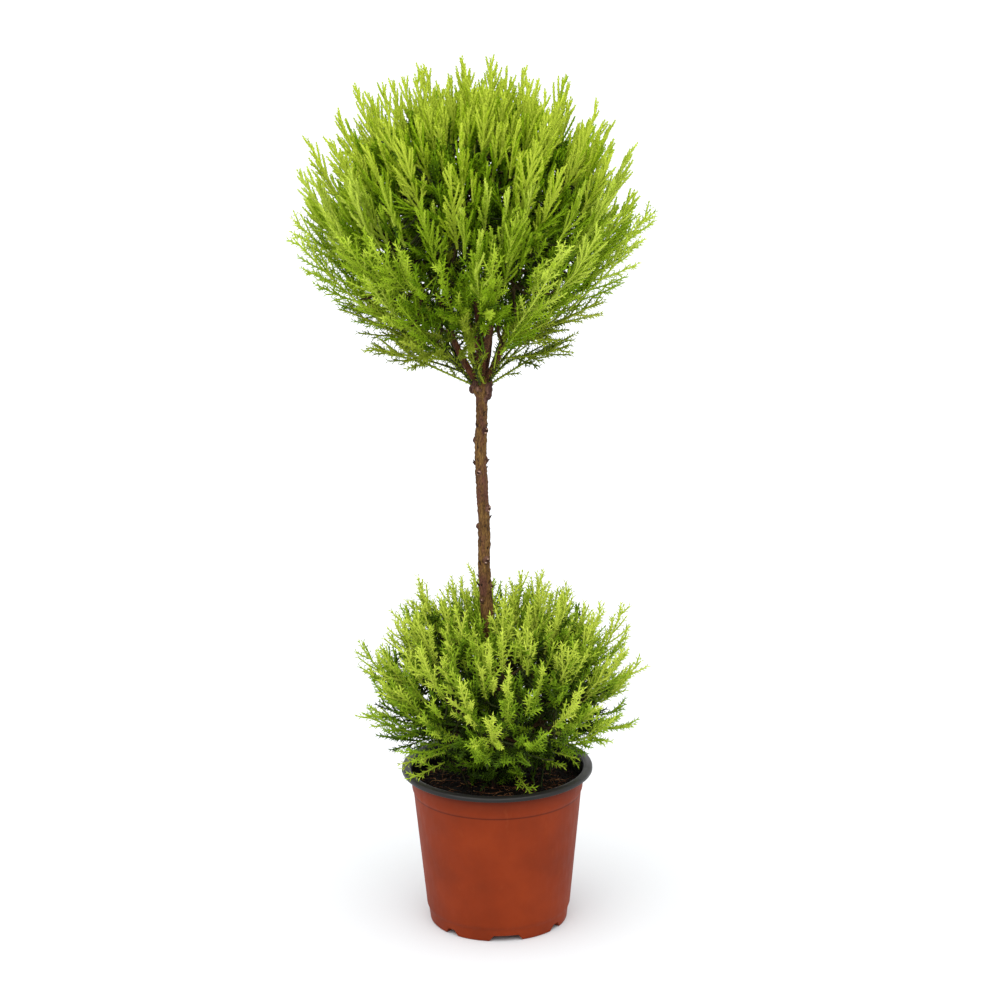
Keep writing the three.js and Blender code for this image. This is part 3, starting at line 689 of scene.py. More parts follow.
def bark_finish(name, tones, flecks):
    """Fibrous bark: long streaks of brown, with flecks of another tone."""
    finish = Finish(name, 0.85, 0.25)
    streaks = finish.noise(420, 6, (1, 1, 0.16))
    patches = finish.noise(120, 5, (1, 1, 0.28))
    grain = finish.noise(1500, 3, (1, 1, 0.22))
    base = finish.ramp(streaks, [(0.3, tones[0]), (0.48, tones[1]), (0.66, tones[2])])
    spots = finish.span(patches, 0.48, 0.62)
    colour = finish.blend(base, flecks, spots)
    dark = finish.ramp(grain, [(0.34, "#554b43"), (0.6, "#ffffff")])
    finish.colour(finish.blend(colour, dark, 0.8, "MULTIPLY"))
    finish.rough(patches, 0.72, 0.95)
    finish.bump(grain, 0.9, 0.7)
    return finish.made


def terracotta_finish():
    finish = Finish("terracotta_plastic", 0.55, 0.14)
    cloud = finish.noise(18, 5)
    scuffs = finish.noise(160, 4, (1, 1, 0.35))
    grain = finish.noise(2400, 2)
    base = finish.ramp(cloud, [(0.3, "#712606"), (0.52, "#7d2b08"), (0.74, "#87310b")])
    worn = finish.span(scuffs, 0.6, 0.8, 0, 0.35)
    height = finish.height()
    # Painted shadow: the collar darkens up to the rim, which shades it from the light above
    painted_rim_shadow = finish.span(height, COLLAR_FOOT * MM, RIM_BOTTOM * MM, 0, 0.55)
    shaded = finish.blend(finish.blend(base, "#8c4124", worn), "#561a05", painted_rim_shadow)
    # Painted shade: a thin dark band in the crease at the step below the collar
    at_step = finish.span(height, (BODY_TOP - CREASE_HALF) * MM, (BODY_TOP + CREASE_HALF) * MM)
    painted_step_shade = finish.ramp(at_step, [(0.36, "#ffffff"), (0.5, "#a39690"), (0.64, "#ffffff")])
    # Painted shade: darker still right under the rim, in the rim's shadow
    close = finish.span(height, (RIM_BOTTOM - GAP_SHADE) * MM, RIM_BOTTOM * MM)
    painted_gap_shade = finish.ramp(close, [(0, "#ffffff"), (0.6, "#e6e2e0"), (1, "#948a86")])
    finish.colour(finish.blend(finish.blend(shaded, painted_step_shade, 1, "MULTIPLY"), painted_gap_shade, 1, "MULTIPLY"))
    finish.rough(scuffs, 0.5, 0.68)
    finish.bump(grain, 0.25, 0.15)
    return finish.made


def black_finish():
    finish = Finish("black_plastic", 0.42, 0.3)
    cloud = finish.noise(60, 4)
    grain = finish.noise(1800, 2)
    base = finish.ramp(cloud, [(0.3, "#0f0e0e"), (0.7, "#181716")])
    # Painted highlight: the rim's top turns paler, as if it caught the light from above
    painted_top_sheen = finish.span(finish.height(), *((RIM_TOP - depth) * MM for depth in PAINTED_SHEEN_DEPTHS))
    finish.colour(finish.blend(base, "#242221", painted_top_sheen))
    finish.rough(cloud, 0.28, 0.46)
    finish.bump(grain, 0.25, 0.15)
    return finish.made


def soil_finish():
    finish = Finish("peat_soil", 0.95, 0.15)
    lumps = finish.noise(240, 6)
    specks = finish.noise(900, 3)
    base = finish.ramp(lumps, [(0.3, "#050302"), (0.5, "#0d0805"), (0.72, "#1c110b")])
    finish.colour(finish.blend(base, "#331e13", finish.span(specks, 0.64, 0.76)))
    finish.rough(specks, 0.85, 1.0)
    finish.bump(lumps, 0.8, 1.5)
    return finish.made


def plant_matter_finish(name, tones):
    """Dead fibres, chips and twigs: one run of tones along noise."""
    finish = Finish(name, 0.85, 0.2)
    streaks = finish.noise(140, 4)
    grain = finish.noise(1600, 3)
    finish.colour(finish.ramp(streaks, [(0.32, tones[0]), (0.5, tones[1]), (0.68, tones[2])]))
    finish.rough(grain, 0.75, 0.95)
    finish.bump(grain, 0.4, 0.3)
    return finish.made


def needle_finish(name, code):
    finish = Finish(name, 0.6, 0.1)
    finish.shader.inputs["Base Color"].default_value = linear(code)
    return finish.made


# Limbs
def trunk_offset(height):
    above = height - SOIL_TOP
    lean = TRUNK_LEAN * math.sin(math.pi / 2 * min(1, above / LEAN_HEIGHT))
    return lean + WOBBLE * math.sin(TURN * above / WOBBLE_PITCH)


def trunk_radius(height):
    above = height - TRUNK_FOOT
    taper = mix(LOWER_RADIUS, UPPER_RADIUS, above / (FORK_HEIGHT - TRUNK_FOOT))
    flare = (FLARE_RADIUS - LOWER_RADIUS) * max(0, 1 - above / FLARE_HEIGHT) ** 2
    to_knob = min(1, abs(height - FORK_HEIGHT) / KNOB_HALF_HEIGHT)
    swelling = (KNOB_RADIUS - UPPER_RADIUS) * math.cos(to_knob * math.pi / 2) ** KNOB_ROUNDING
    return taper + flare + swelling


def leader_curve():
    fork = Vector((trunk_offset(FORK_HEIGHT), 0, FORK_HEIGHT))
    elbow = Vector((fork.x + 1, 0, mix(FORK_HEIGHT, LEADER_TOP, 0.5)))
    return [fork, elbow, Vector((CROWN["heart"].x, 0, LEADER_TOP))]


def curve_length(controls):
    points = bezier(controls, np.linspace(0, 1, 101))
    return np.linalg.norm(np.diff(points, axis=0), axis=1).sum()


def bough_curves():
    leader = leader_curve()
    length = curve_length(leader)
    curves = []
    for turn, place in zip(BOUGH_AZIMUTHS, BOUGH_STARTS):
        azimuth = math.radians(turn)
        start = Vector(evenly(leader, [place / length])[0][0])
        tip = outward(azimuth, BOUGH_OUT, BOUGH_TIP_HEIGHT)
        tip.x += CROWN["heart"].x
        curves.append([start, start + outward(azimuth, BOUGH_ELBOW_OUT, BOUGH_ELBOW_UP), tip])
    return curves


def bush_stem_curves(ring):
    curves = []
    for i in range(ring["count"]):
        azimuth = math.radians(ring["turn"]) + TURN * i / ring["count"]
        foot = outward(azimuth, ring["foot"], SOIL_TOP - STEM_SINK)
        tip = outward(azimuth, ring["out"], SOIL_TOP + ring["height"])
        elbow_out = mix(ring["foot"], ring["out"], STEM_ELBOW_OUT)
        curves.append([foot, outward(azimuth, elbow_out, mix(foot.z, tip.z, STEM_ELBOW_UP)), tip])
    return curves


def bark_relief(point, along, radius):
    """Height of the bark over the limb's round: plates between long cracks, and slow swellings."""
    cracks, flakes, swell = (
        noise.noise(Vector((point[0] * across, point[1] * across, along * length + shift)))
        for across, length, shift in (CRACKS, FLAKES, SWELLINGS)
    )
    plates = CRACK_DEPTH * min(abs(cracks), CRACK_WIDTH) / CRACK_WIDTH
    return radius * (plates + FLAKE_HEIGHT * flakes + SWELLING_HEIGHT * swell - BARK_SINK)


def limb_mesh(axis, tangents, radii, sides):
    """A closed limb along an axis with the bark's relief."""
    normal = Vector((1, 0, 0))
    along = 0
    rows = []
    for i, (centre, tangent) in enumerate(zip(axis, tangents)):
        centre = Vector(centre)
        tangent = Vector(tangent)
        normal = (normal - tangent * normal.dot(tangent)).normalized()
        binormal = tangent.cross(normal)
        along += (centre - Vector(axis[max(0, i - 1)])).length
        for side in range(sides):
            turn = TURN * side / sides
            spoke = normal * math.cos(turn) + binormal * math.sin(turn)
            height = radii[i] + bark_relief(spoke * radii[i], along, radii[i])
            rows.append(centre + spoke * height)
    return closed_rings(rows + [Vector(axis[0]), Vector(axis[-1])], sides)


def curved_limb(controls, radii, sides=LIMB_SIDES, rings=LIMB_RINGS):
    places = np.linspace(0, 1, rings)
    axis, tangents = evenly(controls, places)
    return limb_mesh(axis, tangents, mix(*radii, places), sides)


def trunk_mesh():
    heights = np.linspace(TRUNK_FOOT, TRUNK_TOP, TRUNK_RINGS)
    axis = np.array([(trunk_offset(h), 0, h) for h in heights])
    tangents = unit(np.gradient(axis, heights, axis=0))
    return limb_mesh(axis, tangents, [trunk_radius(h) for h in heights], TRUNK_SIDES)


def nodule(place, azimuth, across, up, out):
    """A small rounded lump that faces an azimuth."""
    facing = outward(azimuth, 1, 0)
    aside = UP.cross(facing)
    rows = []
    for level in np.linspace(-1, 1, NODULE_RINGS + 2)[1:-1] * math.pi / 2:
        flat = math.cos(level)
        for turn in np.linspace(0, TURN, NODULE_SIDES, endpoint=False):
            offset = aside * (across * flat * math.cos(turn)) + facing * (out * flat * math.sin(turn))
            rows.append(place + offset + UP * (up * math.sin(level)))
    return closed_rings(rows + [place - UP * up, place + UP * up], NODULE_SIDES)


def on_trunk(height, azimuth, share):
    """A point at a share of the trunk's radius."""
    return Vector((trunk_offset(height), 0, height)) + outward(azimuth, trunk_radius(height) * share, 0)


def spur_meshes(draw):
    """Thorn-like stubs where small shoots were cut off the trunk."""
    parts = []
    for _ in range(SPURS):
        height = mix(*SPUR_HEIGHTS, draw.random() ** 0.8)
        azimuth = TURN * draw.random()
        root = on_trunk(height, azimuth, ROOTED)
        heading = outward(azimuth, 1, 0.4 + draw.random()).normalized()
        length = mix(*SPUR_LENGTHS, draw.random() ** 1.5)
        width = mix(*SPUR_WIDTHS, draw.random())
        curve = [root, root + heading * length * 0.5, root + heading * length + UP]
        parts.append(curved_limb(curve, (width, width * SPUR_TAPER), *SPUR_MESH))
    return parts


def knot_meshes(draw):
    """Knots up the trunk: a swelling, a dark lump on it as painted shade in the knot's hollow, and slivers
    of pale wood round the hollow.
    """
    swellings = []
    painted_shade_hollows = []
    slivers = []
    for i in range(KNOTS):
        height = mix(*KNOT_HEIGHTS, (i + mix(0.2, 0.8, draw.random())) / KNOTS)
        azimuth = i * GOLDEN_ANGLE + draw.random()
        size = mix(*KNOT_SIZES, draw.random())
        root = on_trunk(height, azimuth, ROOTED)
        swellings.append(nodule(root, azimuth, 1.15 * size, mix(1.1, 1.7, draw.random()) * size, size))
        front = root + outward(azimuth, 0.9 * size, 0)
        # Painted shade: a dark lump on the swelling's face stands for the shadowed pit of the knot
        painted_shade_hollows.append(nodule(front, azimuth, 0.6 * size, 0.5 * size, 0.5))
        for side in (-1, 1):
            beside = on_trunk(height, azimuth + side * SLIVER_TURN, ROOTED)
            place = beside + outward(azimuth, 0.8 * size, 0.5 * side * size)
            width = mix(0.4, 0.75, draw.random()) * size
            slivers.append(nodule(place, azimuth, width, 0.22 * size, 0.6))
    return swellings, painted_shade_hollows, slivers


def burl_meshes(draw):
    """Lumps round the fork."""
    parts = []
    for _ in range(BURLS):
        height = FORK_HEIGHT + mix(*BURL_HEIGHTS, draw.random())
        azimuth = TURN * draw.random()
        size = mix(*BURL_SIZES, draw.random() ** 1.5)
        up = mix(0.8, 1.7, draw.random()) * size
        place = on_trunk(height, azimuth, mix(0.75, 1.02, draw.random()))
        parts.append(nodule(place, azimuth, size, up, size))
    return parts


# Foliage
def reach(tier, direction):
    """Reach of a tier's outline in a direction from its heart."""
    level = math.hypot(direction.x, direction.y) / tier["spread"]
    height = direction.z / tier["rise"] if direction.z > 0 else -direction.z / tier["drop"]
    power = tier["round_above"] if direction.z > 0 else tier["round_below"]
    return (level**power + height**power) ** (-1 / power)


def shoot_tips(tier, prefix):
    """Tips of a tier's shoots, spread evenly over its outline at seeded depths, turning upwards."""
    count, sines, crowding, seed, depths, lift = (tier[prefix + fact] for fact in SHOOT_FACTS)
    random = seeded(seed)
    tips = []
    for i in range(count):
        sine = mix(*sines, ((i + 0.5) / count) ** crowding)
        azimuth = i * GOLDEN_ANGLE + AZIMUTH_JITTER * (next(random) - 0.5)
        direction = outward(azimuth, math.sqrt(1 - sine * sine), sine)
        depth = mix(*depths, next(random))
        tip = tier["heart"] + direction * (depth * reach(tier, direction))
        upright = within((sine - LIFT_SINES[0]) / (LIFT_SINES[1] - LIFT_SINES[0]))
        heading = (direction + UP * lift * mix(tier["low_lift"], 1, upright)).normalized()
        flat = (direction + UP * tier["lift"]).normalized()
        roll = math.pi * next(random)
        tips.append({"tip": tip, "heading": heading, "flat": flat, "roll": roll, "depth": depth})
    return tips


def inside_core(tier, point):
    offset = point - tier["heart"]
    return offset.length < CORE_SHARE * reach(tier, offset.normalized())


def spray_length(tier, mass, start, tip, heading):
    if mass["open"]:
        return min(SPRAY_SHARE * (start - tip).length, tier["longest"])
    length = SPRAY_ROOT
    while length < tier["longest"] and not inside_core(tier, tip - heading * (length - SPRAY_ROOT)):
        length += SPRAY_ROOT / 3
    return min(length, tier["longest"])


def masses_on(tier, prefix, curves, place):
    """One mass on the end of each limb."""
    masses = []
    for i, curve in enumerate(curves):
        heading = (curve[-1] - curve[-2]).normalized()
        start = curve[-1] + heading * CLEARANCE
        azimuth = math.atan2(start.y - tier["heart"].y, start.x - tier["heart"].x)
        site = tier["heart"] + outward(azimuth if place[0] else 0, *place)
        mass = {"name": f"{prefix}_{i + 1}", "site": site, "start": start, "heading": heading}
        masses.append(mass | {"open": False})
    return masses


def skirt_masses():
    """The open masses under the crown, on stems from the trunk between the boughs."""
    masses = []
    turns = (*BOUGH_AZIMUTHS, BOUGH_AZIMUTHS[0] + 360)
    for i, (turn, after) in enumerate(zip(turns, turns[1:])):
        azimuth = math.radians((turn + after) / 2)
        start = Vector((trunk_offset(SKIRT_STEM_HEIGHT), 0, SKIRT_STEM_HEIGHT))
        heading = outward(azimuth, 1, SKIRT_RISE).normalized()
        site = CROWN["heart"] + outward(azimuth, *SKIRT_SITE)
        name = f"crown_foliage_skirt_{i + 1}"
        masses.append({"name": name, "site": site, "start": start, "heading": heading, "open": True})
    return masses


def stem_curve(tier, mass):
    """A mass's stem, from its bough's tip or the trunk to the spray at the mass's furthest point."""
    out = (mass["site"] - tier["heart"]).normalized()
    apex = tier["heart"] + out * reach(tier, out)
    heading = (out + UP * tier["lift"]).normalized()
    length = spray_length(tier, mass, mass["start"], apex, heading)
    end = apex - heading * (1 - SPRAY_SINK) * length
    bend = (end - mass["start"]).length / 3
    curve = [mass["start"], mass["start"] + mass["heading"] * bend, end - heading * bend, end]
    return curve, {"tip": apex, "heading": heading, "roll": 0, "depth": 1}


def fork_on(forks, tip, near):
    """Of some places on twigs, the one from which a twig to a tip leaves nearest the branching angle."""
    points, slopes = forks
    towards = np.array(tip) - points
    away = np.linalg.norm(towards, axis=1)
    cosines = np.clip((towards * slopes).sum(1) / np.maximum(away, 1e-6), -1, 1)
    return Vector(points[np.argmin(np.abs(np.arccos(cosines) - BRANCH_ANGLE) + near * away)])


def stacked(forks):
    """Several sets of places and slopes as one."""
    return tuple(np.concatenate(part) for part in zip(*forks))


class Growth:
    """Twigs and branchlets of one tier, gathered as rows for joined meshes."""

    def __init__(self, seed):
        self.random = np.random.default_rng(seed)
        self.woody = []
        self.green = []
        self.branchlets = {name: [] for name in PALETTES}

    def stalk(self, mass, curve, radii):
        """A brown twig, or in an open mass a green one with needles of its own."""
        row = (*curve[0], *curve[1], *curve[2])
        if not mass["open"]:
            self.woody.append((*row, *radii))
            return
        self.green.append((*row, *(OPEN_SLIMNESS * radius for radius in radii)))
        foot, middle, end = (Vector(point) for point in curve)
        if not self.clear(foot):
            foot = (foot + end) / 2
            middle = (foot + end) / 2
        self.branchlet(foot, middle, end, WISPS, OPEN_TINT)

    def sprout(self, forks, shoot, longest, kind, tint, size):
        """A fine green twig that leaves one of some forks, and the plume at its end."""
        tip = shoot["tip"]
        heading = shoot["heading"]
        start = fork_on(forks, tip, NEAR_FORK)
        base = tip - heading * min(PLUME_SHARE * (start - tip).length, longest)
        elbow = base - heading * ELBOW_SHARE * (start - base).length
        self.green.append((*start, *elbow, *base, *FINE_TWIG_RADII))
        if kind[0] is LOW_PLUME:
            self.branchlet(start, elbow, base, kind, max(0, tint - TWIG_SHADE))
        if not self.before_fork(tip):
            self.add_plume(base, shoot, kind, tint, size)

    def branchlet(self, start, middle, end, kind, tint, thick=1):
        """A row for a branchlet: its curve, its needles, its radius and its tone."""
        if not self.clear(start) or not self.clear(end):
            return
        _, (*needle, radius), palette = kind
        tone = min(FULL_TINT, max(0, tint))
        self.branchlets[palette].append((*start, *middle, *end, *needle, radius * thick, tone))

    def clear(self, point):
        """Out of the pot's wall, the soil and the trunk."""
        flat = math.hypot(point.x, point.y)
        in_wall = flat > LIP_INNER_RADIUS - RIM_GAP
        if point.z < RIM_TOP + OVER_RIM and (in_wall or point.z < SOIL_TOP + SOIL_GAP):
            return False
        if point.z < FORK_HEIGHT:
            return math.hypot(point.x - trunk_offset(point.z), point.y) > trunk_radius(point.z) + TRUNK_GAP
        return True

    def before_fork(self, point):
        """In front of the fork, where the boughs stand in open view."""
        aside = abs(point.x - trunk_offset(FORK_HEIGHT))
        above = point.z - FORK_HEIGHT + FORK_VIEW_SLOPE * point.y
        in_view = aside < FORK_VIEW_HALF_WIDTH and -FORK_VIEW_DROP < above < FORK_VIEW_RISE
        return point.y < 0 and in_view

    def add_plume(self, base, shoot, kind, tint, size=1):
        """A shoot that bends to its tip, with branchlets that leave it all round and point forward."""
        draw = self.random
        form = kind[0]
        tip = shoot["tip"]
        heading = shoot["heading"]
        length = (tip - base).length
        across = heading.orthogonal().normalized()
        across.rotate(Matrix.Rotation(shoot["roll"], 3, heading))
        normal = heading.cross(across)
        sway = Vector(draw.normal(0, SWAY * length, 3))
        middle = (base + tip) / 2 + sway + UP * form["bend"] * length
        self.branchlet(base, middle, tip, kind, tint, LEADER_THICKNESS)
        side = 1 if draw.random() < 0.5 else -1
        along = form["first"] * size
        while along < PLUME_FOOT * length:
            share = 1 - along / length
            root = bent(base, middle, tip, share)
            onward = ((middle - base) * (1 - share) + (tip - middle) * share).normalized()
            reach_out = min(form["least"] + BRANCHLET_GROWTH * along, form["longest"] * size)
            reach_out *= draw.uniform(*BRANCHLET_LENGTHS)
            out = across * side + normal * draw.normal(0, form["flatness"])
            out.z *= UNDERSIDE if out.z < 0 else 1
            out = (out - onward * out.dot(onward)).normalized()
            local = tint - BRANCHLET_SHADE * along / length + draw.normal(0, BRANCHLET_SCATTER)
            self.side_shoot(root, onward, out, reach_out, kind, local)
            side = -side
            along += form["pitch"] * draw.uniform(*PITCH_RANGE) * 0.5 * (1 + size)

    def side_shoot(self, root, onward, out, length, kind, tint):
        """A branchlet that turns forward, with smaller ones to both sides when it is long."""
        draw = self.random
        form = kind[0]
        angle = form["angle"] * draw.uniform(*ANGLE_RANGE)
        leaving = onward * math.cos(angle) + out * math.sin(angle)
        turned_in = (leaving + onward * form["forward"] + UP * SIDE_LIFT).normalized()
        middle = root + leaving * length * 0.5
        end = middle + turned_in * length * 0.5
        self.branchlet(root, middle, end, kind, tint)
        if length < form["side_from"]:
            return
        edge = leaving.cross(onward).normalized()
        side = 1
        along = form["side_pitch"]
        while along < SIDE_FOOT * length:
            place = bent(root, middle, end, along / length)
            small = max(SIDE_LEAST, form["side_share"] * (length - along)) * draw.uniform(*SIDE_LENGTHS)
            outer = leaving.cross(edge) * side + edge * draw.normal(0, SIDE_SCATTER)
            tilt = form["angle"] * draw.uniform(*SIDE_TILTS)
            aim = (leaving * math.cos(tilt) + outer.normalized() * math.sin(tilt)).normalized()
            half = place + aim * small * 0.5
            tip = half + (aim + turned_in * SIDE_FORWARD).normalized() * small * 0.5
            self.branchlet(place, half, tip, kind, tint + SIDE_TINT)
            side = -side
            along += form["side_pitch"] * draw.uniform(*PITCH_RANGE) * SIDE_CLOSENESS


def grow(tier, masses, kinds, shaded):
    """Every mass of a tier: its stem, its twigs by the source's rule, finer twigs, and their plumes."""
    growth = Growth(tier["draw_seed"])
    draw = growth.random
    heart = tier["heart"]

    def mass_of(shoot):
        """The nearest mass, in which a shoot sweeps up less if the mass is open."""
        nearest = min(masses, key=lambda mass: (mass["site"] - shoot["tip"]).length)
        if nearest["open"]:
            shoot["heading"] = shoot["flat"]
        return nearest

    def tint_of(shoot):
        tip = shoot["tip"]
        outer = within((shoot["depth"] - TIP_DEPTH) / (1 - TIP_DEPTH))
        # Painted shade: shoots low in the tier are darker, less so far out from the axis
        low = within((heart.z + tier["low_from"] - tip.z) / tier["low_span"])
        low *= within((tier["low_reach"] - math.hypot(tip.x, tip.y)) / LOW_FADE)
        # Painted light: shoots high in the tier are lighter, as if lit from above
        high = within((tip.z - heart.z) / tier["rise"])
        tint = tier["tint"] + OUTER_TINT * outer + PAINTED_TOP_LIGHT * high - tier["low_shade"] * low
        return tint + draw.normal(0, TINT_SCATTER)

    def kind_of(shoot):
        above = shoot["tip"].z - heart.z
        return next(kind for floor, kind in kinds if above > floor)

    def dress(base, shoot):
        if not growth.before_fork(shoot["tip"]):
            growth.add_plume(base, shoot, kind_of(shoot), tint_of(shoot))

    for mass in masses:
        curve, apex = stem_curve(tier, mass)
        shares = np.linspace(0, 1, STEM_POINTS)
        points, _ = evenly(curve, shares)
        radii = mix(*STEM_RADII, shares)
        for i in range(0, STEM_POINTS - 2, 2):
            a, b, c = points[i : i + 3]
            growth.stalk(mass, (a, 2 * b - (a + c) / 2, c), (radii[i], radii[i + 2]))
        dress(Vector(points[-1]), apex)
        mass["forks"] = evenly(curve, FORK_PLACES)
        mass["fine_forks"] = [mass["forks"]]

    for shoot in shoot_tips(tier, ""):
        mass = mass_of(shoot)
        tip = shoot["tip"]
        heading = shoot["heading"]
        start = fork_on(mass["forks"], tip, 0)
        length = spray_length(tier, mass, start, tip, heading)
        end = tip - heading * (1 - SPRAY_SINK) * length
        elbow = end - heading * ELBOW_SHARE * (start - end).length
        growth.stalk(mass, (start, elbow, end), TWIG_RADII)
        dress(tip - heading * length, shoot)
        mass["fine_forks"].append(evenly([start, elbow, end], FORK_PLACES))

    for mass in masses:
        mass["fine_forks"] = stacked(mass["fine_forks"])

    for shoot in shoot_tips(tier, "fine_"):
        mass = mass_of(shoot)
        if mass["open"] and shoot["depth"] < OPEN_DEPTH:
            continue
        longest = draw.uniform(*FINE_LENGTHS) * tier["longest"]
        size = draw.uniform(*FINE_SIZES)
        growth.sprout(mass["fine_forks"], shoot, longest, kind_of(shoot), tint_of(shoot), size)

    forks = stacked(mass["fine_forks"] for mass in masses if not mass["open"])
    for _ in range(tier["shade_shoots"]):
        sine = draw.uniform(*tier["shade_sines"])
        direction = outward(TURN * draw.random(), math.sqrt(1 - sine * sine), sine)
        depth = tier["shade_depth"] * draw.random() ** (1 / 3)
        tip = heart + direction * depth * reach(tier, direction)
        heading = direction + UP * tier["lift"] + SHADE_SCATTER * Vector(draw.normal(0, 1, 3))
        shoot = {"tip": tip, "heading": heading.normalized(), "roll": math.pi * draw.random()}
        light = draw.uniform(*SHADE_LIGHT) * (depth / tier["shade_depth"]) ** 2
        longest = draw.uniform(*SHADE_LENGTHS)
        growth.sprout(forks, shoot, longest, shaded, mix(*tier["shade_tints"], light), SHADE_SIZE)
    return growth, forks


def clothe(growth, curves, sprays, kind):
    """Sprays that leave the limbs themselves, outwards and up, all along them."""
    draw = growth.random
    for curve in curves:
        count = int(curve_length(curve) * (1 - sprays["first"]) / sprays["spacing"])
        shares = np.linspace(sprays["first"], 1, count)
        forks = evenly(curve, shares)
        lean = curve[-1] - curve[0]
        azimuth = math.atan2(lean.y, lean.x)
        for point, share in zip(forks[0], shares):
            turn = azimuth + LIMB_SPRAY_TURN * draw.normal()
            heading = outward(turn, 1, draw.uniform(*LIMB_SPRAY_RISES)).normalized()
            length = draw.uniform(*sprays["lengths"])
            tip = Vector(point) + heading * length
            shoot = {"tip": tip, "heading": heading, "roll": math.pi * draw.random()}
            # Painted shade: sprays deep in the tier are dark, and lighter out towards the limb's tip
            tint = draw.uniform(*sprays["tints"]) + sprays["tip_tint"] * share**2
            growth.sprout(forks, shoot, length, kind, tint, LIMB_SPRAY_SIZE)


def fork_sprays(growth):
    """The lowest sprays of the crown: long and slender, with needles down to the trunk's fork."""
    fork = Vector((trunk_offset(FORK_HEIGHT), 0, FORK_SPRAY_FOOT))
    for turn, place in FORK_SPRAYS:
        foot = fork + outward(math.radians(turn), FORK_SPRAY_SEAT * KNOB_RADIUS, 0)
        tip = Vector(place)
        shoot = {"tip": tip, "heading": (tip - foot).normalized(), "roll": 0}
        growth.add_plume(foot, shoot, SLENDERS, FORK_TINT)


def hang(growth, forks):
    """Sprays of the lower tier that hang out over the soil and the rim."""
    for x, y, z in HANGING_TIPS:
        heading = Vector((x, y, -HANGING_FALL * math.hypot(x, y))).normalized()
        shoot = {"tip": Vector((x, y, z)), "heading": heading, "roll": 0}
        tint = growth.random.uniform(*HANGING_TINTS)
        growth.sprout(forks, shoot, HANGING_LENGTH, DROOPERS, tint, 1)


def needles(rows, roll):
    """Pairs of folded, pointed needles along many branchlets at once."""
    start, middle, end = ends_of(rows)
    length, half_width, angle, pitch, core, _ = rows[:, 9:].T
    chord = end - start
    span = np.linalg.norm(chord, axis=1)
    counts = np.maximum(LEAST_PAIRS, np.round(span / pitch)).astype(int)
    owner = np.repeat(np.arange(len(rows)), counts)
    order = np.arange(len(owner)) - np.repeat(np.cumsum(counts) - counts, counts)
    share = ((order + FIRST_PAIR) / counts[owner])[:, None]
    point = bent(start[owner], middle[owner], end[owner], share)
    tangent = unit((1 - share) * (middle - start)[owner] + share * (end - middle)[owner])
    normal, binormal = square_to(tangent, (np.abs(chord[:, 2]) >= STEEP * span)[owner])
    closing = np.exp((share[:, 0] - 1) * span[owner] / TIP_CLOSING)
    lean = (angle[owner] * (1 - TIP_FURLING * closing))[:, None]
    size = (length[owner] * (1 - TIP_SHORTENING * closing))[:, None]
    half = half_width[owner][:, None]
    corners = []
    for opposite in (0, math.pi):
        turn = (order * math.pi / 2 + opposite + roll[owner])[:, None]
        radial = normal * np.cos(turn) + binormal * np.sin(turn)
        aim = tangent * np.cos(lean) + radial * np.sin(lean)
        side = np.cross(tangent, radial)
        base = point + radial * (NEEDLE_SINK * core[owner])[:, None]
        wide = base + aim * (NEEDLE_WIDEST * size) - np.cross(side, aim) * (NEEDLE_FOLD * half)
        corners.append(np.stack([base, wide + side * half, base + aim * size, wide - side * half], axis=1))
    vertices = np.concatenate(corners).reshape(-1, 3)
    return vertices, halves(np.arange(len(vertices)).reshape(-1, 4))


def foliage_pieces(growth, prefix, masses, twig_finishes):
    """Joined needles, green shoots and twigs of one tier, each green apart."""
    slot = f"{prefix}_foliage"
    nodes = [mass["name"] for mass in masses]
    draw = np.random.default_rng(NEEDLE_SEED)
    for palette, gathered in growth.branchlets.items():
        if not gathered:
            continue
        rows = np.array(gathered)
        greens = PALETTES[palette]
        roll = draw.uniform(0, TURN, len(rows))
        shade = (rows[:, -1] * len(greens)).astype(int)
        for i, code in enumerate(greens):
            chosen = shade == i
            if not chosen.any():
                continue
            finish = needle_finish(f"{prefix}_{palette}_{i + 1}", code)
            part = rows[chosen]
            core = part[:, -2]
            leaves = needles(part, roll[chosen])
            shoots = tubes(*ends_of(part), core, core * CORE_TAPER, CORE_RINGS, CORE_SIDES)
            for label, made in (("needles", leaves), ("shoots", shoots)):
                mesh_piece(f"{prefix}_{palette}_{label}_{i + 1}", *made, [finish], slot, nodes)
    for label, gathered, finish in zip(("woody", "green"), (growth.woody, growth.green), twig_finishes):
        twigs = np.array(gathered)
        made = tubes(*ends_of(twigs), twigs[:, 9], twigs[:, 10], TWIG_RINGS, TWIG_SIDES)
        mesh_piece(f"{prefix}_{label}_twigs", *made, [finish], slot, nodes)


# Pot and soil
def outer_wall():
    return [
        (FOOT_RADIUS, 0),
        (FOOT_TOP_RADIUS, FOOT_TOP),
        (BODY_FOOT_RADIUS, BODY_FOOT),
        (BODY_TOP_RADIUS, BODY_TOP),
        (COLLAR_FOOT_RADIUS, COLLAR_FOOT),
        (COLLAR_TOP_RADIUS, RIM_BOTTOM),
    ]


def wall_radius(height):
    radii, heights = zip(*outer_wall())
    return np.interp(height, heights, radii)


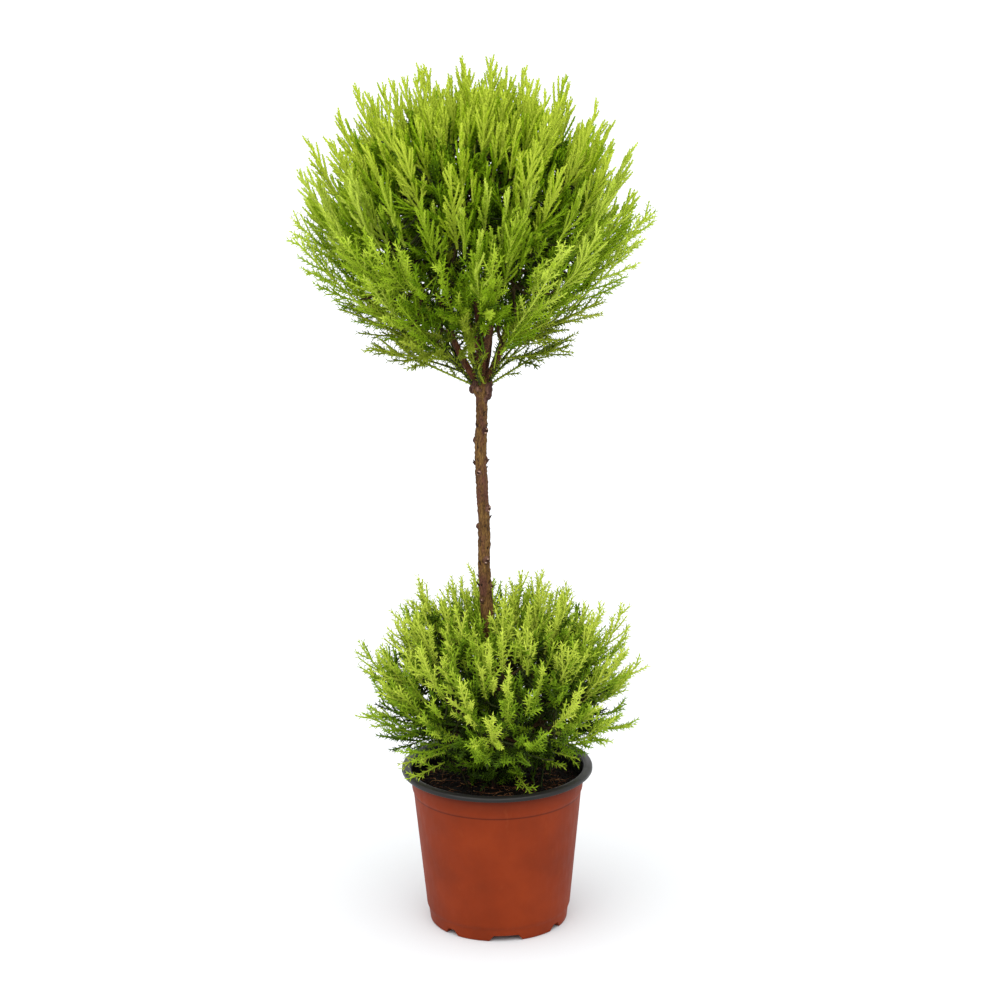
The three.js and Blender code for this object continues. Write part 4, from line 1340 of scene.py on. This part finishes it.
def notch_mesh(width, turn):
    """A prism through the foot's wall that leaves a notch with slanted sides."""
    half = width / 2
    outline = [
        (-half - NOTCH_SLANT, -NOTCH_HEIGHT),
        (half + NOTCH_SLANT, -NOTCH_HEIGHT),
        (half + NOTCH_SLANT, 0),
        (half, NOTCH_HEIGHT),
        (-half, NOTCH_HEIGHT),
        (-half - NOTCH_SLANT, 0),
    ]
    radial = outward(math.radians(turn - 90), 1, 0)
    across = UP.cross(radial)
    inner = FOOT_INNER_RADIUS - 2 * DRAFT
    points = [across * x + UP * z + radial * depth for depth in (inner, RIM_RADIUS) for x, z in outline]
    count = len(outline)
    faces = [list(range(count))[::-1], list(range(count, 2 * count))]
    for i in range(count):
        after = (i + 1) % count
        faces.append([i, after, count + after, count + i])
    mesh = bpy.data.meshes.new("notch")
    mesh.from_pydata([point * MM for point in points], [], faces)
    return placed("notch", mesh)


def make_pot(terracotta, black):
    inside = [(radius - WALL, height) for radius, height in outer_wall()[1:]][::-1]
    profile = [
        (AXIS_RADIUS, 0),
        (PAD_RADIUS, 0),
        (PAD_RADIUS + DRAFT, FLOOR_UNDERSIDE),
        (FOOT_INNER_RADIUS - DRAFT, FLOOR_UNDERSIDE),
        (FOOT_INNER_RADIUS, 0),
        *outer_wall(),
        *inside,
        (FOOT_TOP_RADIUS - 3 * WALL, FLOOR_TOP),
        (AXIS_RADIUS, FLOOR_TOP),
    ]
    vertices, faces = turned(rounded(profile, CORNER), POT_SIDES)
    pot = mesh_piece("pot_shell", vertices, faces, [terracotta, black], "pot", ["pot"])
    cutters = []
    for side in (0, 180):
        turn = FRONT_NOTCH_TURN + side
        cutters.append(notch_mesh(WIDE_NOTCH, turn))
        cutters.append(notch_mesh(NARROW_NOTCH, turn - NARROW_NOTCH_TURN))
        cutters.append(notch_mesh(NARROW_NOTCH, turn + NARROW_NOTCH_TURN))
    for cutter in cutters:
        cut = pot.modifiers.new(cutter.name, "BOOLEAN")
        cut.operation = "DIFFERENCE"
        cut.object = cutter
    done = bpy.data.meshes.new_from_object(pot.evaluated_get(bpy.context.evaluated_depsgraph_get()))
    pot.modifiers.clear()
    pot.data = done
    for cutter in cutters:
        bpy.data.objects.remove(cutter)
    for face in done.polygons:
        radius = math.hypot(face.center.x, face.center.y) / MM
        height = face.center.z / MM
        inner = height > FLOOR_TOP - 1 and radius < wall_radius(height) - 0.6 * WALL
        face.material_index = 1 if inner else 0
    done.set_sharp_from_angle(angle=SHARP_EDGE)


def make_rim(black):
    inner = COLLAR_TOP_RADIUS - WALL
    profile = [
        (inner, RIM_BOTTOM - RIM_TUCK),
        (inner, RIM_BOTTOM),
        *((LIP_INNER_RADIUS + out, RIM_TOP + up) for out, up in LIP_STEPS),
        *((RIM_RADIUS + out, RIM_TOP + up) for out, up in ROLL_STEPS),
        *((RIM_RADIUS + out, RIM_BOTTOM + up) for out, up in UNDER_STEPS),
        (COLLAR_TOP_RADIUS, RIM_BOTTOM + UNDER_STEPS[-1][1]),
    ]
    vertices, faces = turned(rounded(profile, RIM_ROUNDING), POT_SIDES)
    mesh_piece("rolled_rim", vertices, faces, [black], "rim", ["pot_rim"])


def soil_height(x, y):
    edge = wall_radius(SOIL_EDGE_TOP) - WALL
    fall = max(0, (math.hypot(x, y) - SOIL_FLAT_RADIUS) / (edge - SOIL_FLAT_RADIUS))
    level = SOIL_TOP - (SOIL_TOP - SOIL_EDGE_TOP) * fall
    lumps = noise.fractal(Vector((x * SOIL_LUMPS, y * SOIL_LUMPS, 3)), 1, 2, 5)
    grain = noise.noise(Vector((x * SOIL_GRAIN, y * SOIL_GRAIN, 9)))
    return level + SOIL_RELIEF * (0.8 * lumps + 0.35 * grain)


def crumb_meshes(draw, edge):
    """Small rough lumps that lie on the soil."""
    parts = []
    for share, turn in draw.uniform(0, 1, (CRUMBS, 2)):
        x, y = polar((edge - CRUMB_EDGE) * math.sqrt(share), TURN * turn)
        size = draw.uniform(*CRUMB_SIZES)
        corners = draw.normal(0, 1, (6, 3)) * CRUMB_RAGGEDNESS + np.vstack([np.eye(3), -np.eye(3)])
        corners *= size * draw.uniform(*CRUMB_SHAPES, 3)
        parts.append((corners + [x, y, soil_height(x, y) + 0.3 * size], np.array(OCTANTS)))
    return joined(parts)


def fibre_meshes(draw, edge):
    """Dead fibres that arch over the soil, within the pot."""
    rows = []
    for _ in range(FIBRES):
        x, y = polar((edge - FIBRE_EDGES[0]) * math.sqrt(draw.random()), TURN * draw.random())
        heading = TURN * draw.random()
        length = draw.uniform(*FIBRE_LENGTHS)
        row = []
        for place, lift in ((0, 0.0), (0.5, draw.uniform(*FIBRE_ARCH)), (1, draw.uniform(*FIBRE_END_LIFT))):
            along, aside = polar(place * length, heading + FIBRE_TURN * draw.normal() * place)
            out = math.hypot(x + along, y + aside)
            shrink = min(1, (edge - FIBRE_EDGES[1]) / max(1, out))
            px = (x + along) * shrink
            py = (y + aside) * shrink
            row += [px, py, soil_height(px, py) + lift]
        rows.append(row + [draw.uniform(*FIBRE_RADII)])
    rows = np.array(rows)
    radii = rows[:, 9]
    return tubes(*ends_of(rows), radii, radii * FIBRE_TAPER, TWIG_RINGS, FIBRE_SIDES)


def make_soil(earth, chips, fibre):
    edge = wall_radius(SOIL_EDGE_TOP) - WALL - CLEARANCE
    rows = []
    for radius in edge * np.linspace(0.002, 1, SOIL_RINGS) ** SOIL_CROWDING:
        for turn in np.linspace(0, TURN, SOIL_SECTORS, endpoint=False):
            x, y = polar(radius, turn)
            rows.append((x, y, soil_height(x, y)))
    rows += [(x, y, SOIL_EDGE_TOP - SOIL_SKIRT) for x, y, _ in rows[-SOIL_SECTORS:]]
    faces = ring_quads(SOIL_RINGS + 1, SOIL_SECTORS)[:, [0, 3, 2, 1]]
    mesh_piece("soil_bed", np.array(rows), faces, [earth], "soil", ["soil"])
    draw = np.random.default_rng(SOIL_SEED)
    mesh_piece("soil_crumbs", *crumb_meshes(draw, edge), [chips], "soil", [], smooth=False)
    mesh_piece("soil_fibres", *fibre_meshes(draw, edge), [fibre], "soil", [])


# Studio
def make_floor():
    finish = Finish("pale_floor", 0.8, 0.1)
    shade = finish.noise(3, 2)
    finish.colour(finish.ramp(shade, [(0.2, "#d6d8da"), (0.8, "#d8dadc")]))
    mesh = bpy.data.meshes.new("studio_floor")
    corners = ((-1, -1), (1, -1), (1, 1), (-1, 1))
    points = [(x * FLOOR_HALF_SIZE, y * FLOOR_HALF_SIZE, 0) for x, y in corners]
    mesh.from_pydata(points, [], [(0, 1, 2, 3)])
    mesh.materials.append(finish.made)
    floor = placed("studio_floor", mesh)


def make_sun():
    lamp = bpy.data.lights.new("key", "SUN")
    lamp.angle = math.radians(SUN_SPREAD)
    lamp.energy = SUN_STRENGTH
    holder = placed("key", lamp)
    holder.rotation_mode = "QUATERNION"
    holder.rotation_quaternion = (-Vector(SUN_PLACE)).to_track_quat("-Z", "Y")


def make_studio():
    world = bpy.data.worlds.new("studio")
    world.use_nodes = True
    sky = world.node_tree.nodes["Background"]
    sky.inputs["Color"].default_value = (1, 1, 1, 1)
    sky.inputs["Strength"].default_value = SKY_STRENGTH
    bpy.context.scene.world = world
    make_floor()
    make_sun()
    bpy.context.scene.view_settings.view_transform = "Standard"


def make_camera():
    lens = bpy.data.cameras.new("camera")
    lens.lens = CAMERA_LENS
    lens.sensor_width = CAMERA_SENSOR
    lens.clip_end = CAMERA_FAR
    camera = placed("camera", lens)
    pitch = math.cos(CAMERA_PITCH)
    ahead = Vector((math.sin(CAMERA_YAW) * pitch, math.cos(CAMERA_YAW) * pitch, -math.sin(CAMERA_PITCH)))
    level = Vector((math.cos(CAMERA_YAW), -math.sin(CAMERA_YAW), 0))
    above = level.cross(ahead)
    right = level * math.cos(CAMERA_ROLL) + above * math.sin(CAMERA_ROLL)
    top = above * math.cos(CAMERA_ROLL) - level * math.sin(CAMERA_ROLL)
    turn = Matrix((right, top, -ahead)).transposed().to_4x4()
    camera.matrix_world = Matrix.Translation(CAMERA_PLACE * MM) @ turn
    bpy.context.scene.camera = camera


def make_limbs(bark, bough_bark, shaded_stem_bark):
    draw = np.random.default_rng(TRUNK_SEED)
    mesh_piece("trunk_bark", *trunk_mesh(), [bark], "trunk_bark", ["trunk"])
    swellings, painted_shade_hollows, slivers = knot_meshes(draw)
    # Dead bark of the cut stubs, and painted shade in the knots' hollows
    dead_bark_and_shade = plant_matter_finish("dead_bark_and_painted_shade", ("#1c100a", "#2e1a10", "#43291a"))
    mesh_piece("trunk_spurs", *joined(spur_meshes(draw) + painted_shade_hollows), [dead_bark_and_shade], "trunk_bark", [])
    scar = plant_matter_finish("scar_tissue", ("#8a6450", "#b08c78", "#cfb2a0"))
    mesh_piece("trunk_scars", *joined(slivers), [scar], "trunk_bark", [])
    burl = bark_finish("burl_bark", ("#38211a", "#644232", "#876250"), "#4a2b26")
    mesh_piece("trunk_burls", *joined(burl_meshes(draw) + swellings), [burl], "trunk_bark", [])
    limbs = [("crown_leader", leader_curve(), LEADER_RADII, bough_bark)]
    for i, curve in enumerate(bough_curves()):
        limbs.append((f"crown_bough_{i + 1}", curve, BOUGH_RADII, bough_bark))
    for ring, label in ((OUTER_STEMS, "outer"), (INNER_STEMS, "inner")):
        for i, curve in enumerate(bush_stem_curves(ring)):
            limbs.append((f"bush_stem_{label}_{i + 1}", curve, ring["radii"], shaded_stem_bark))
    for name, curve, radii, finish in limbs:
        mesh_piece(f"{name}_bark", *curved_limb(curve, radii), [finish], "bough_bark", [name])


def make_foliage(twig_finishes):
    boughs = [leader_curve(), *bough_curves()]
    outer_stems = bush_stem_curves(OUTER_STEMS)
    inner_stems = bush_stem_curves(INNER_STEMS)
    crown = [
        *masses_on(CROWN, "crown_foliage_top", boughs[:1], TOP_SITE),
        *masses_on(CROWN, "crown_foliage_ring", boughs[1:], RING_SITE),
        *skirt_masses(),
    ]
    bush = [
        *masses_on(BUSH, "bush_foliage_outer", outer_stems, OUTER_SITE),
        *masses_on(BUSH, "bush_foliage_inner", inner_stems, INNER_SITE),
    ]
    growth, _ = grow(CROWN, crown, CROWN_KINDS, CROWN_SHADE)
    clothe(growth, boughs, BOUGH_SPRAYS, WISPS)
    fork_sprays(growth)
    foliage_pieces(growth, "crown", crown, twig_finishes)
    growth, forks = grow(BUSH, bush, BUSH_KINDS, BUSH_SHADE)
    clothe(growth, outer_stems + inner_stems, STEM_SPRAYS, BRUSHES)
    hang(growth, forks)
    foliage_pieces(growth, "bush", bush, twig_finishes)


make_camera()
make_studio()
black_plastic = black_finish()
make_pot(terracotta_finish(), black_plastic)
make_rim(black_plastic)
make_soil(
    soil_finish(),
    plant_matter_finish("soil_chips", ("#0a0604", "#170d08", "#2a1910")),
    plant_matter_finish("soil_fibre", ("#2a1810", "#6d4429", "#b08356")),
)
make_limbs(
    bark_finish("trunk_bark", ("#3a2612", "#714f26", "#906d38"), "#6b4434"),
    bark_finish("bough_bark", ("#3d2415", "#653f26", "#7d5735"), "#703a24"),
    # Bark of the bush's stems, darkened as painted shade under the bush
    bark_finish("shaded_stem_bark", ("#160e08", "#2b1b10", "#40291a"), "#33190f"),
)
make_foliage(
    (
        bark_finish("twig_bark", ("#2f2410", "#473a1a", "#584a22"), "#4a3018"),
        bark_finish("green_twigs", ("#1f2a08", "#31400e", "#43521a"), "#3a3a14"),
    )
)
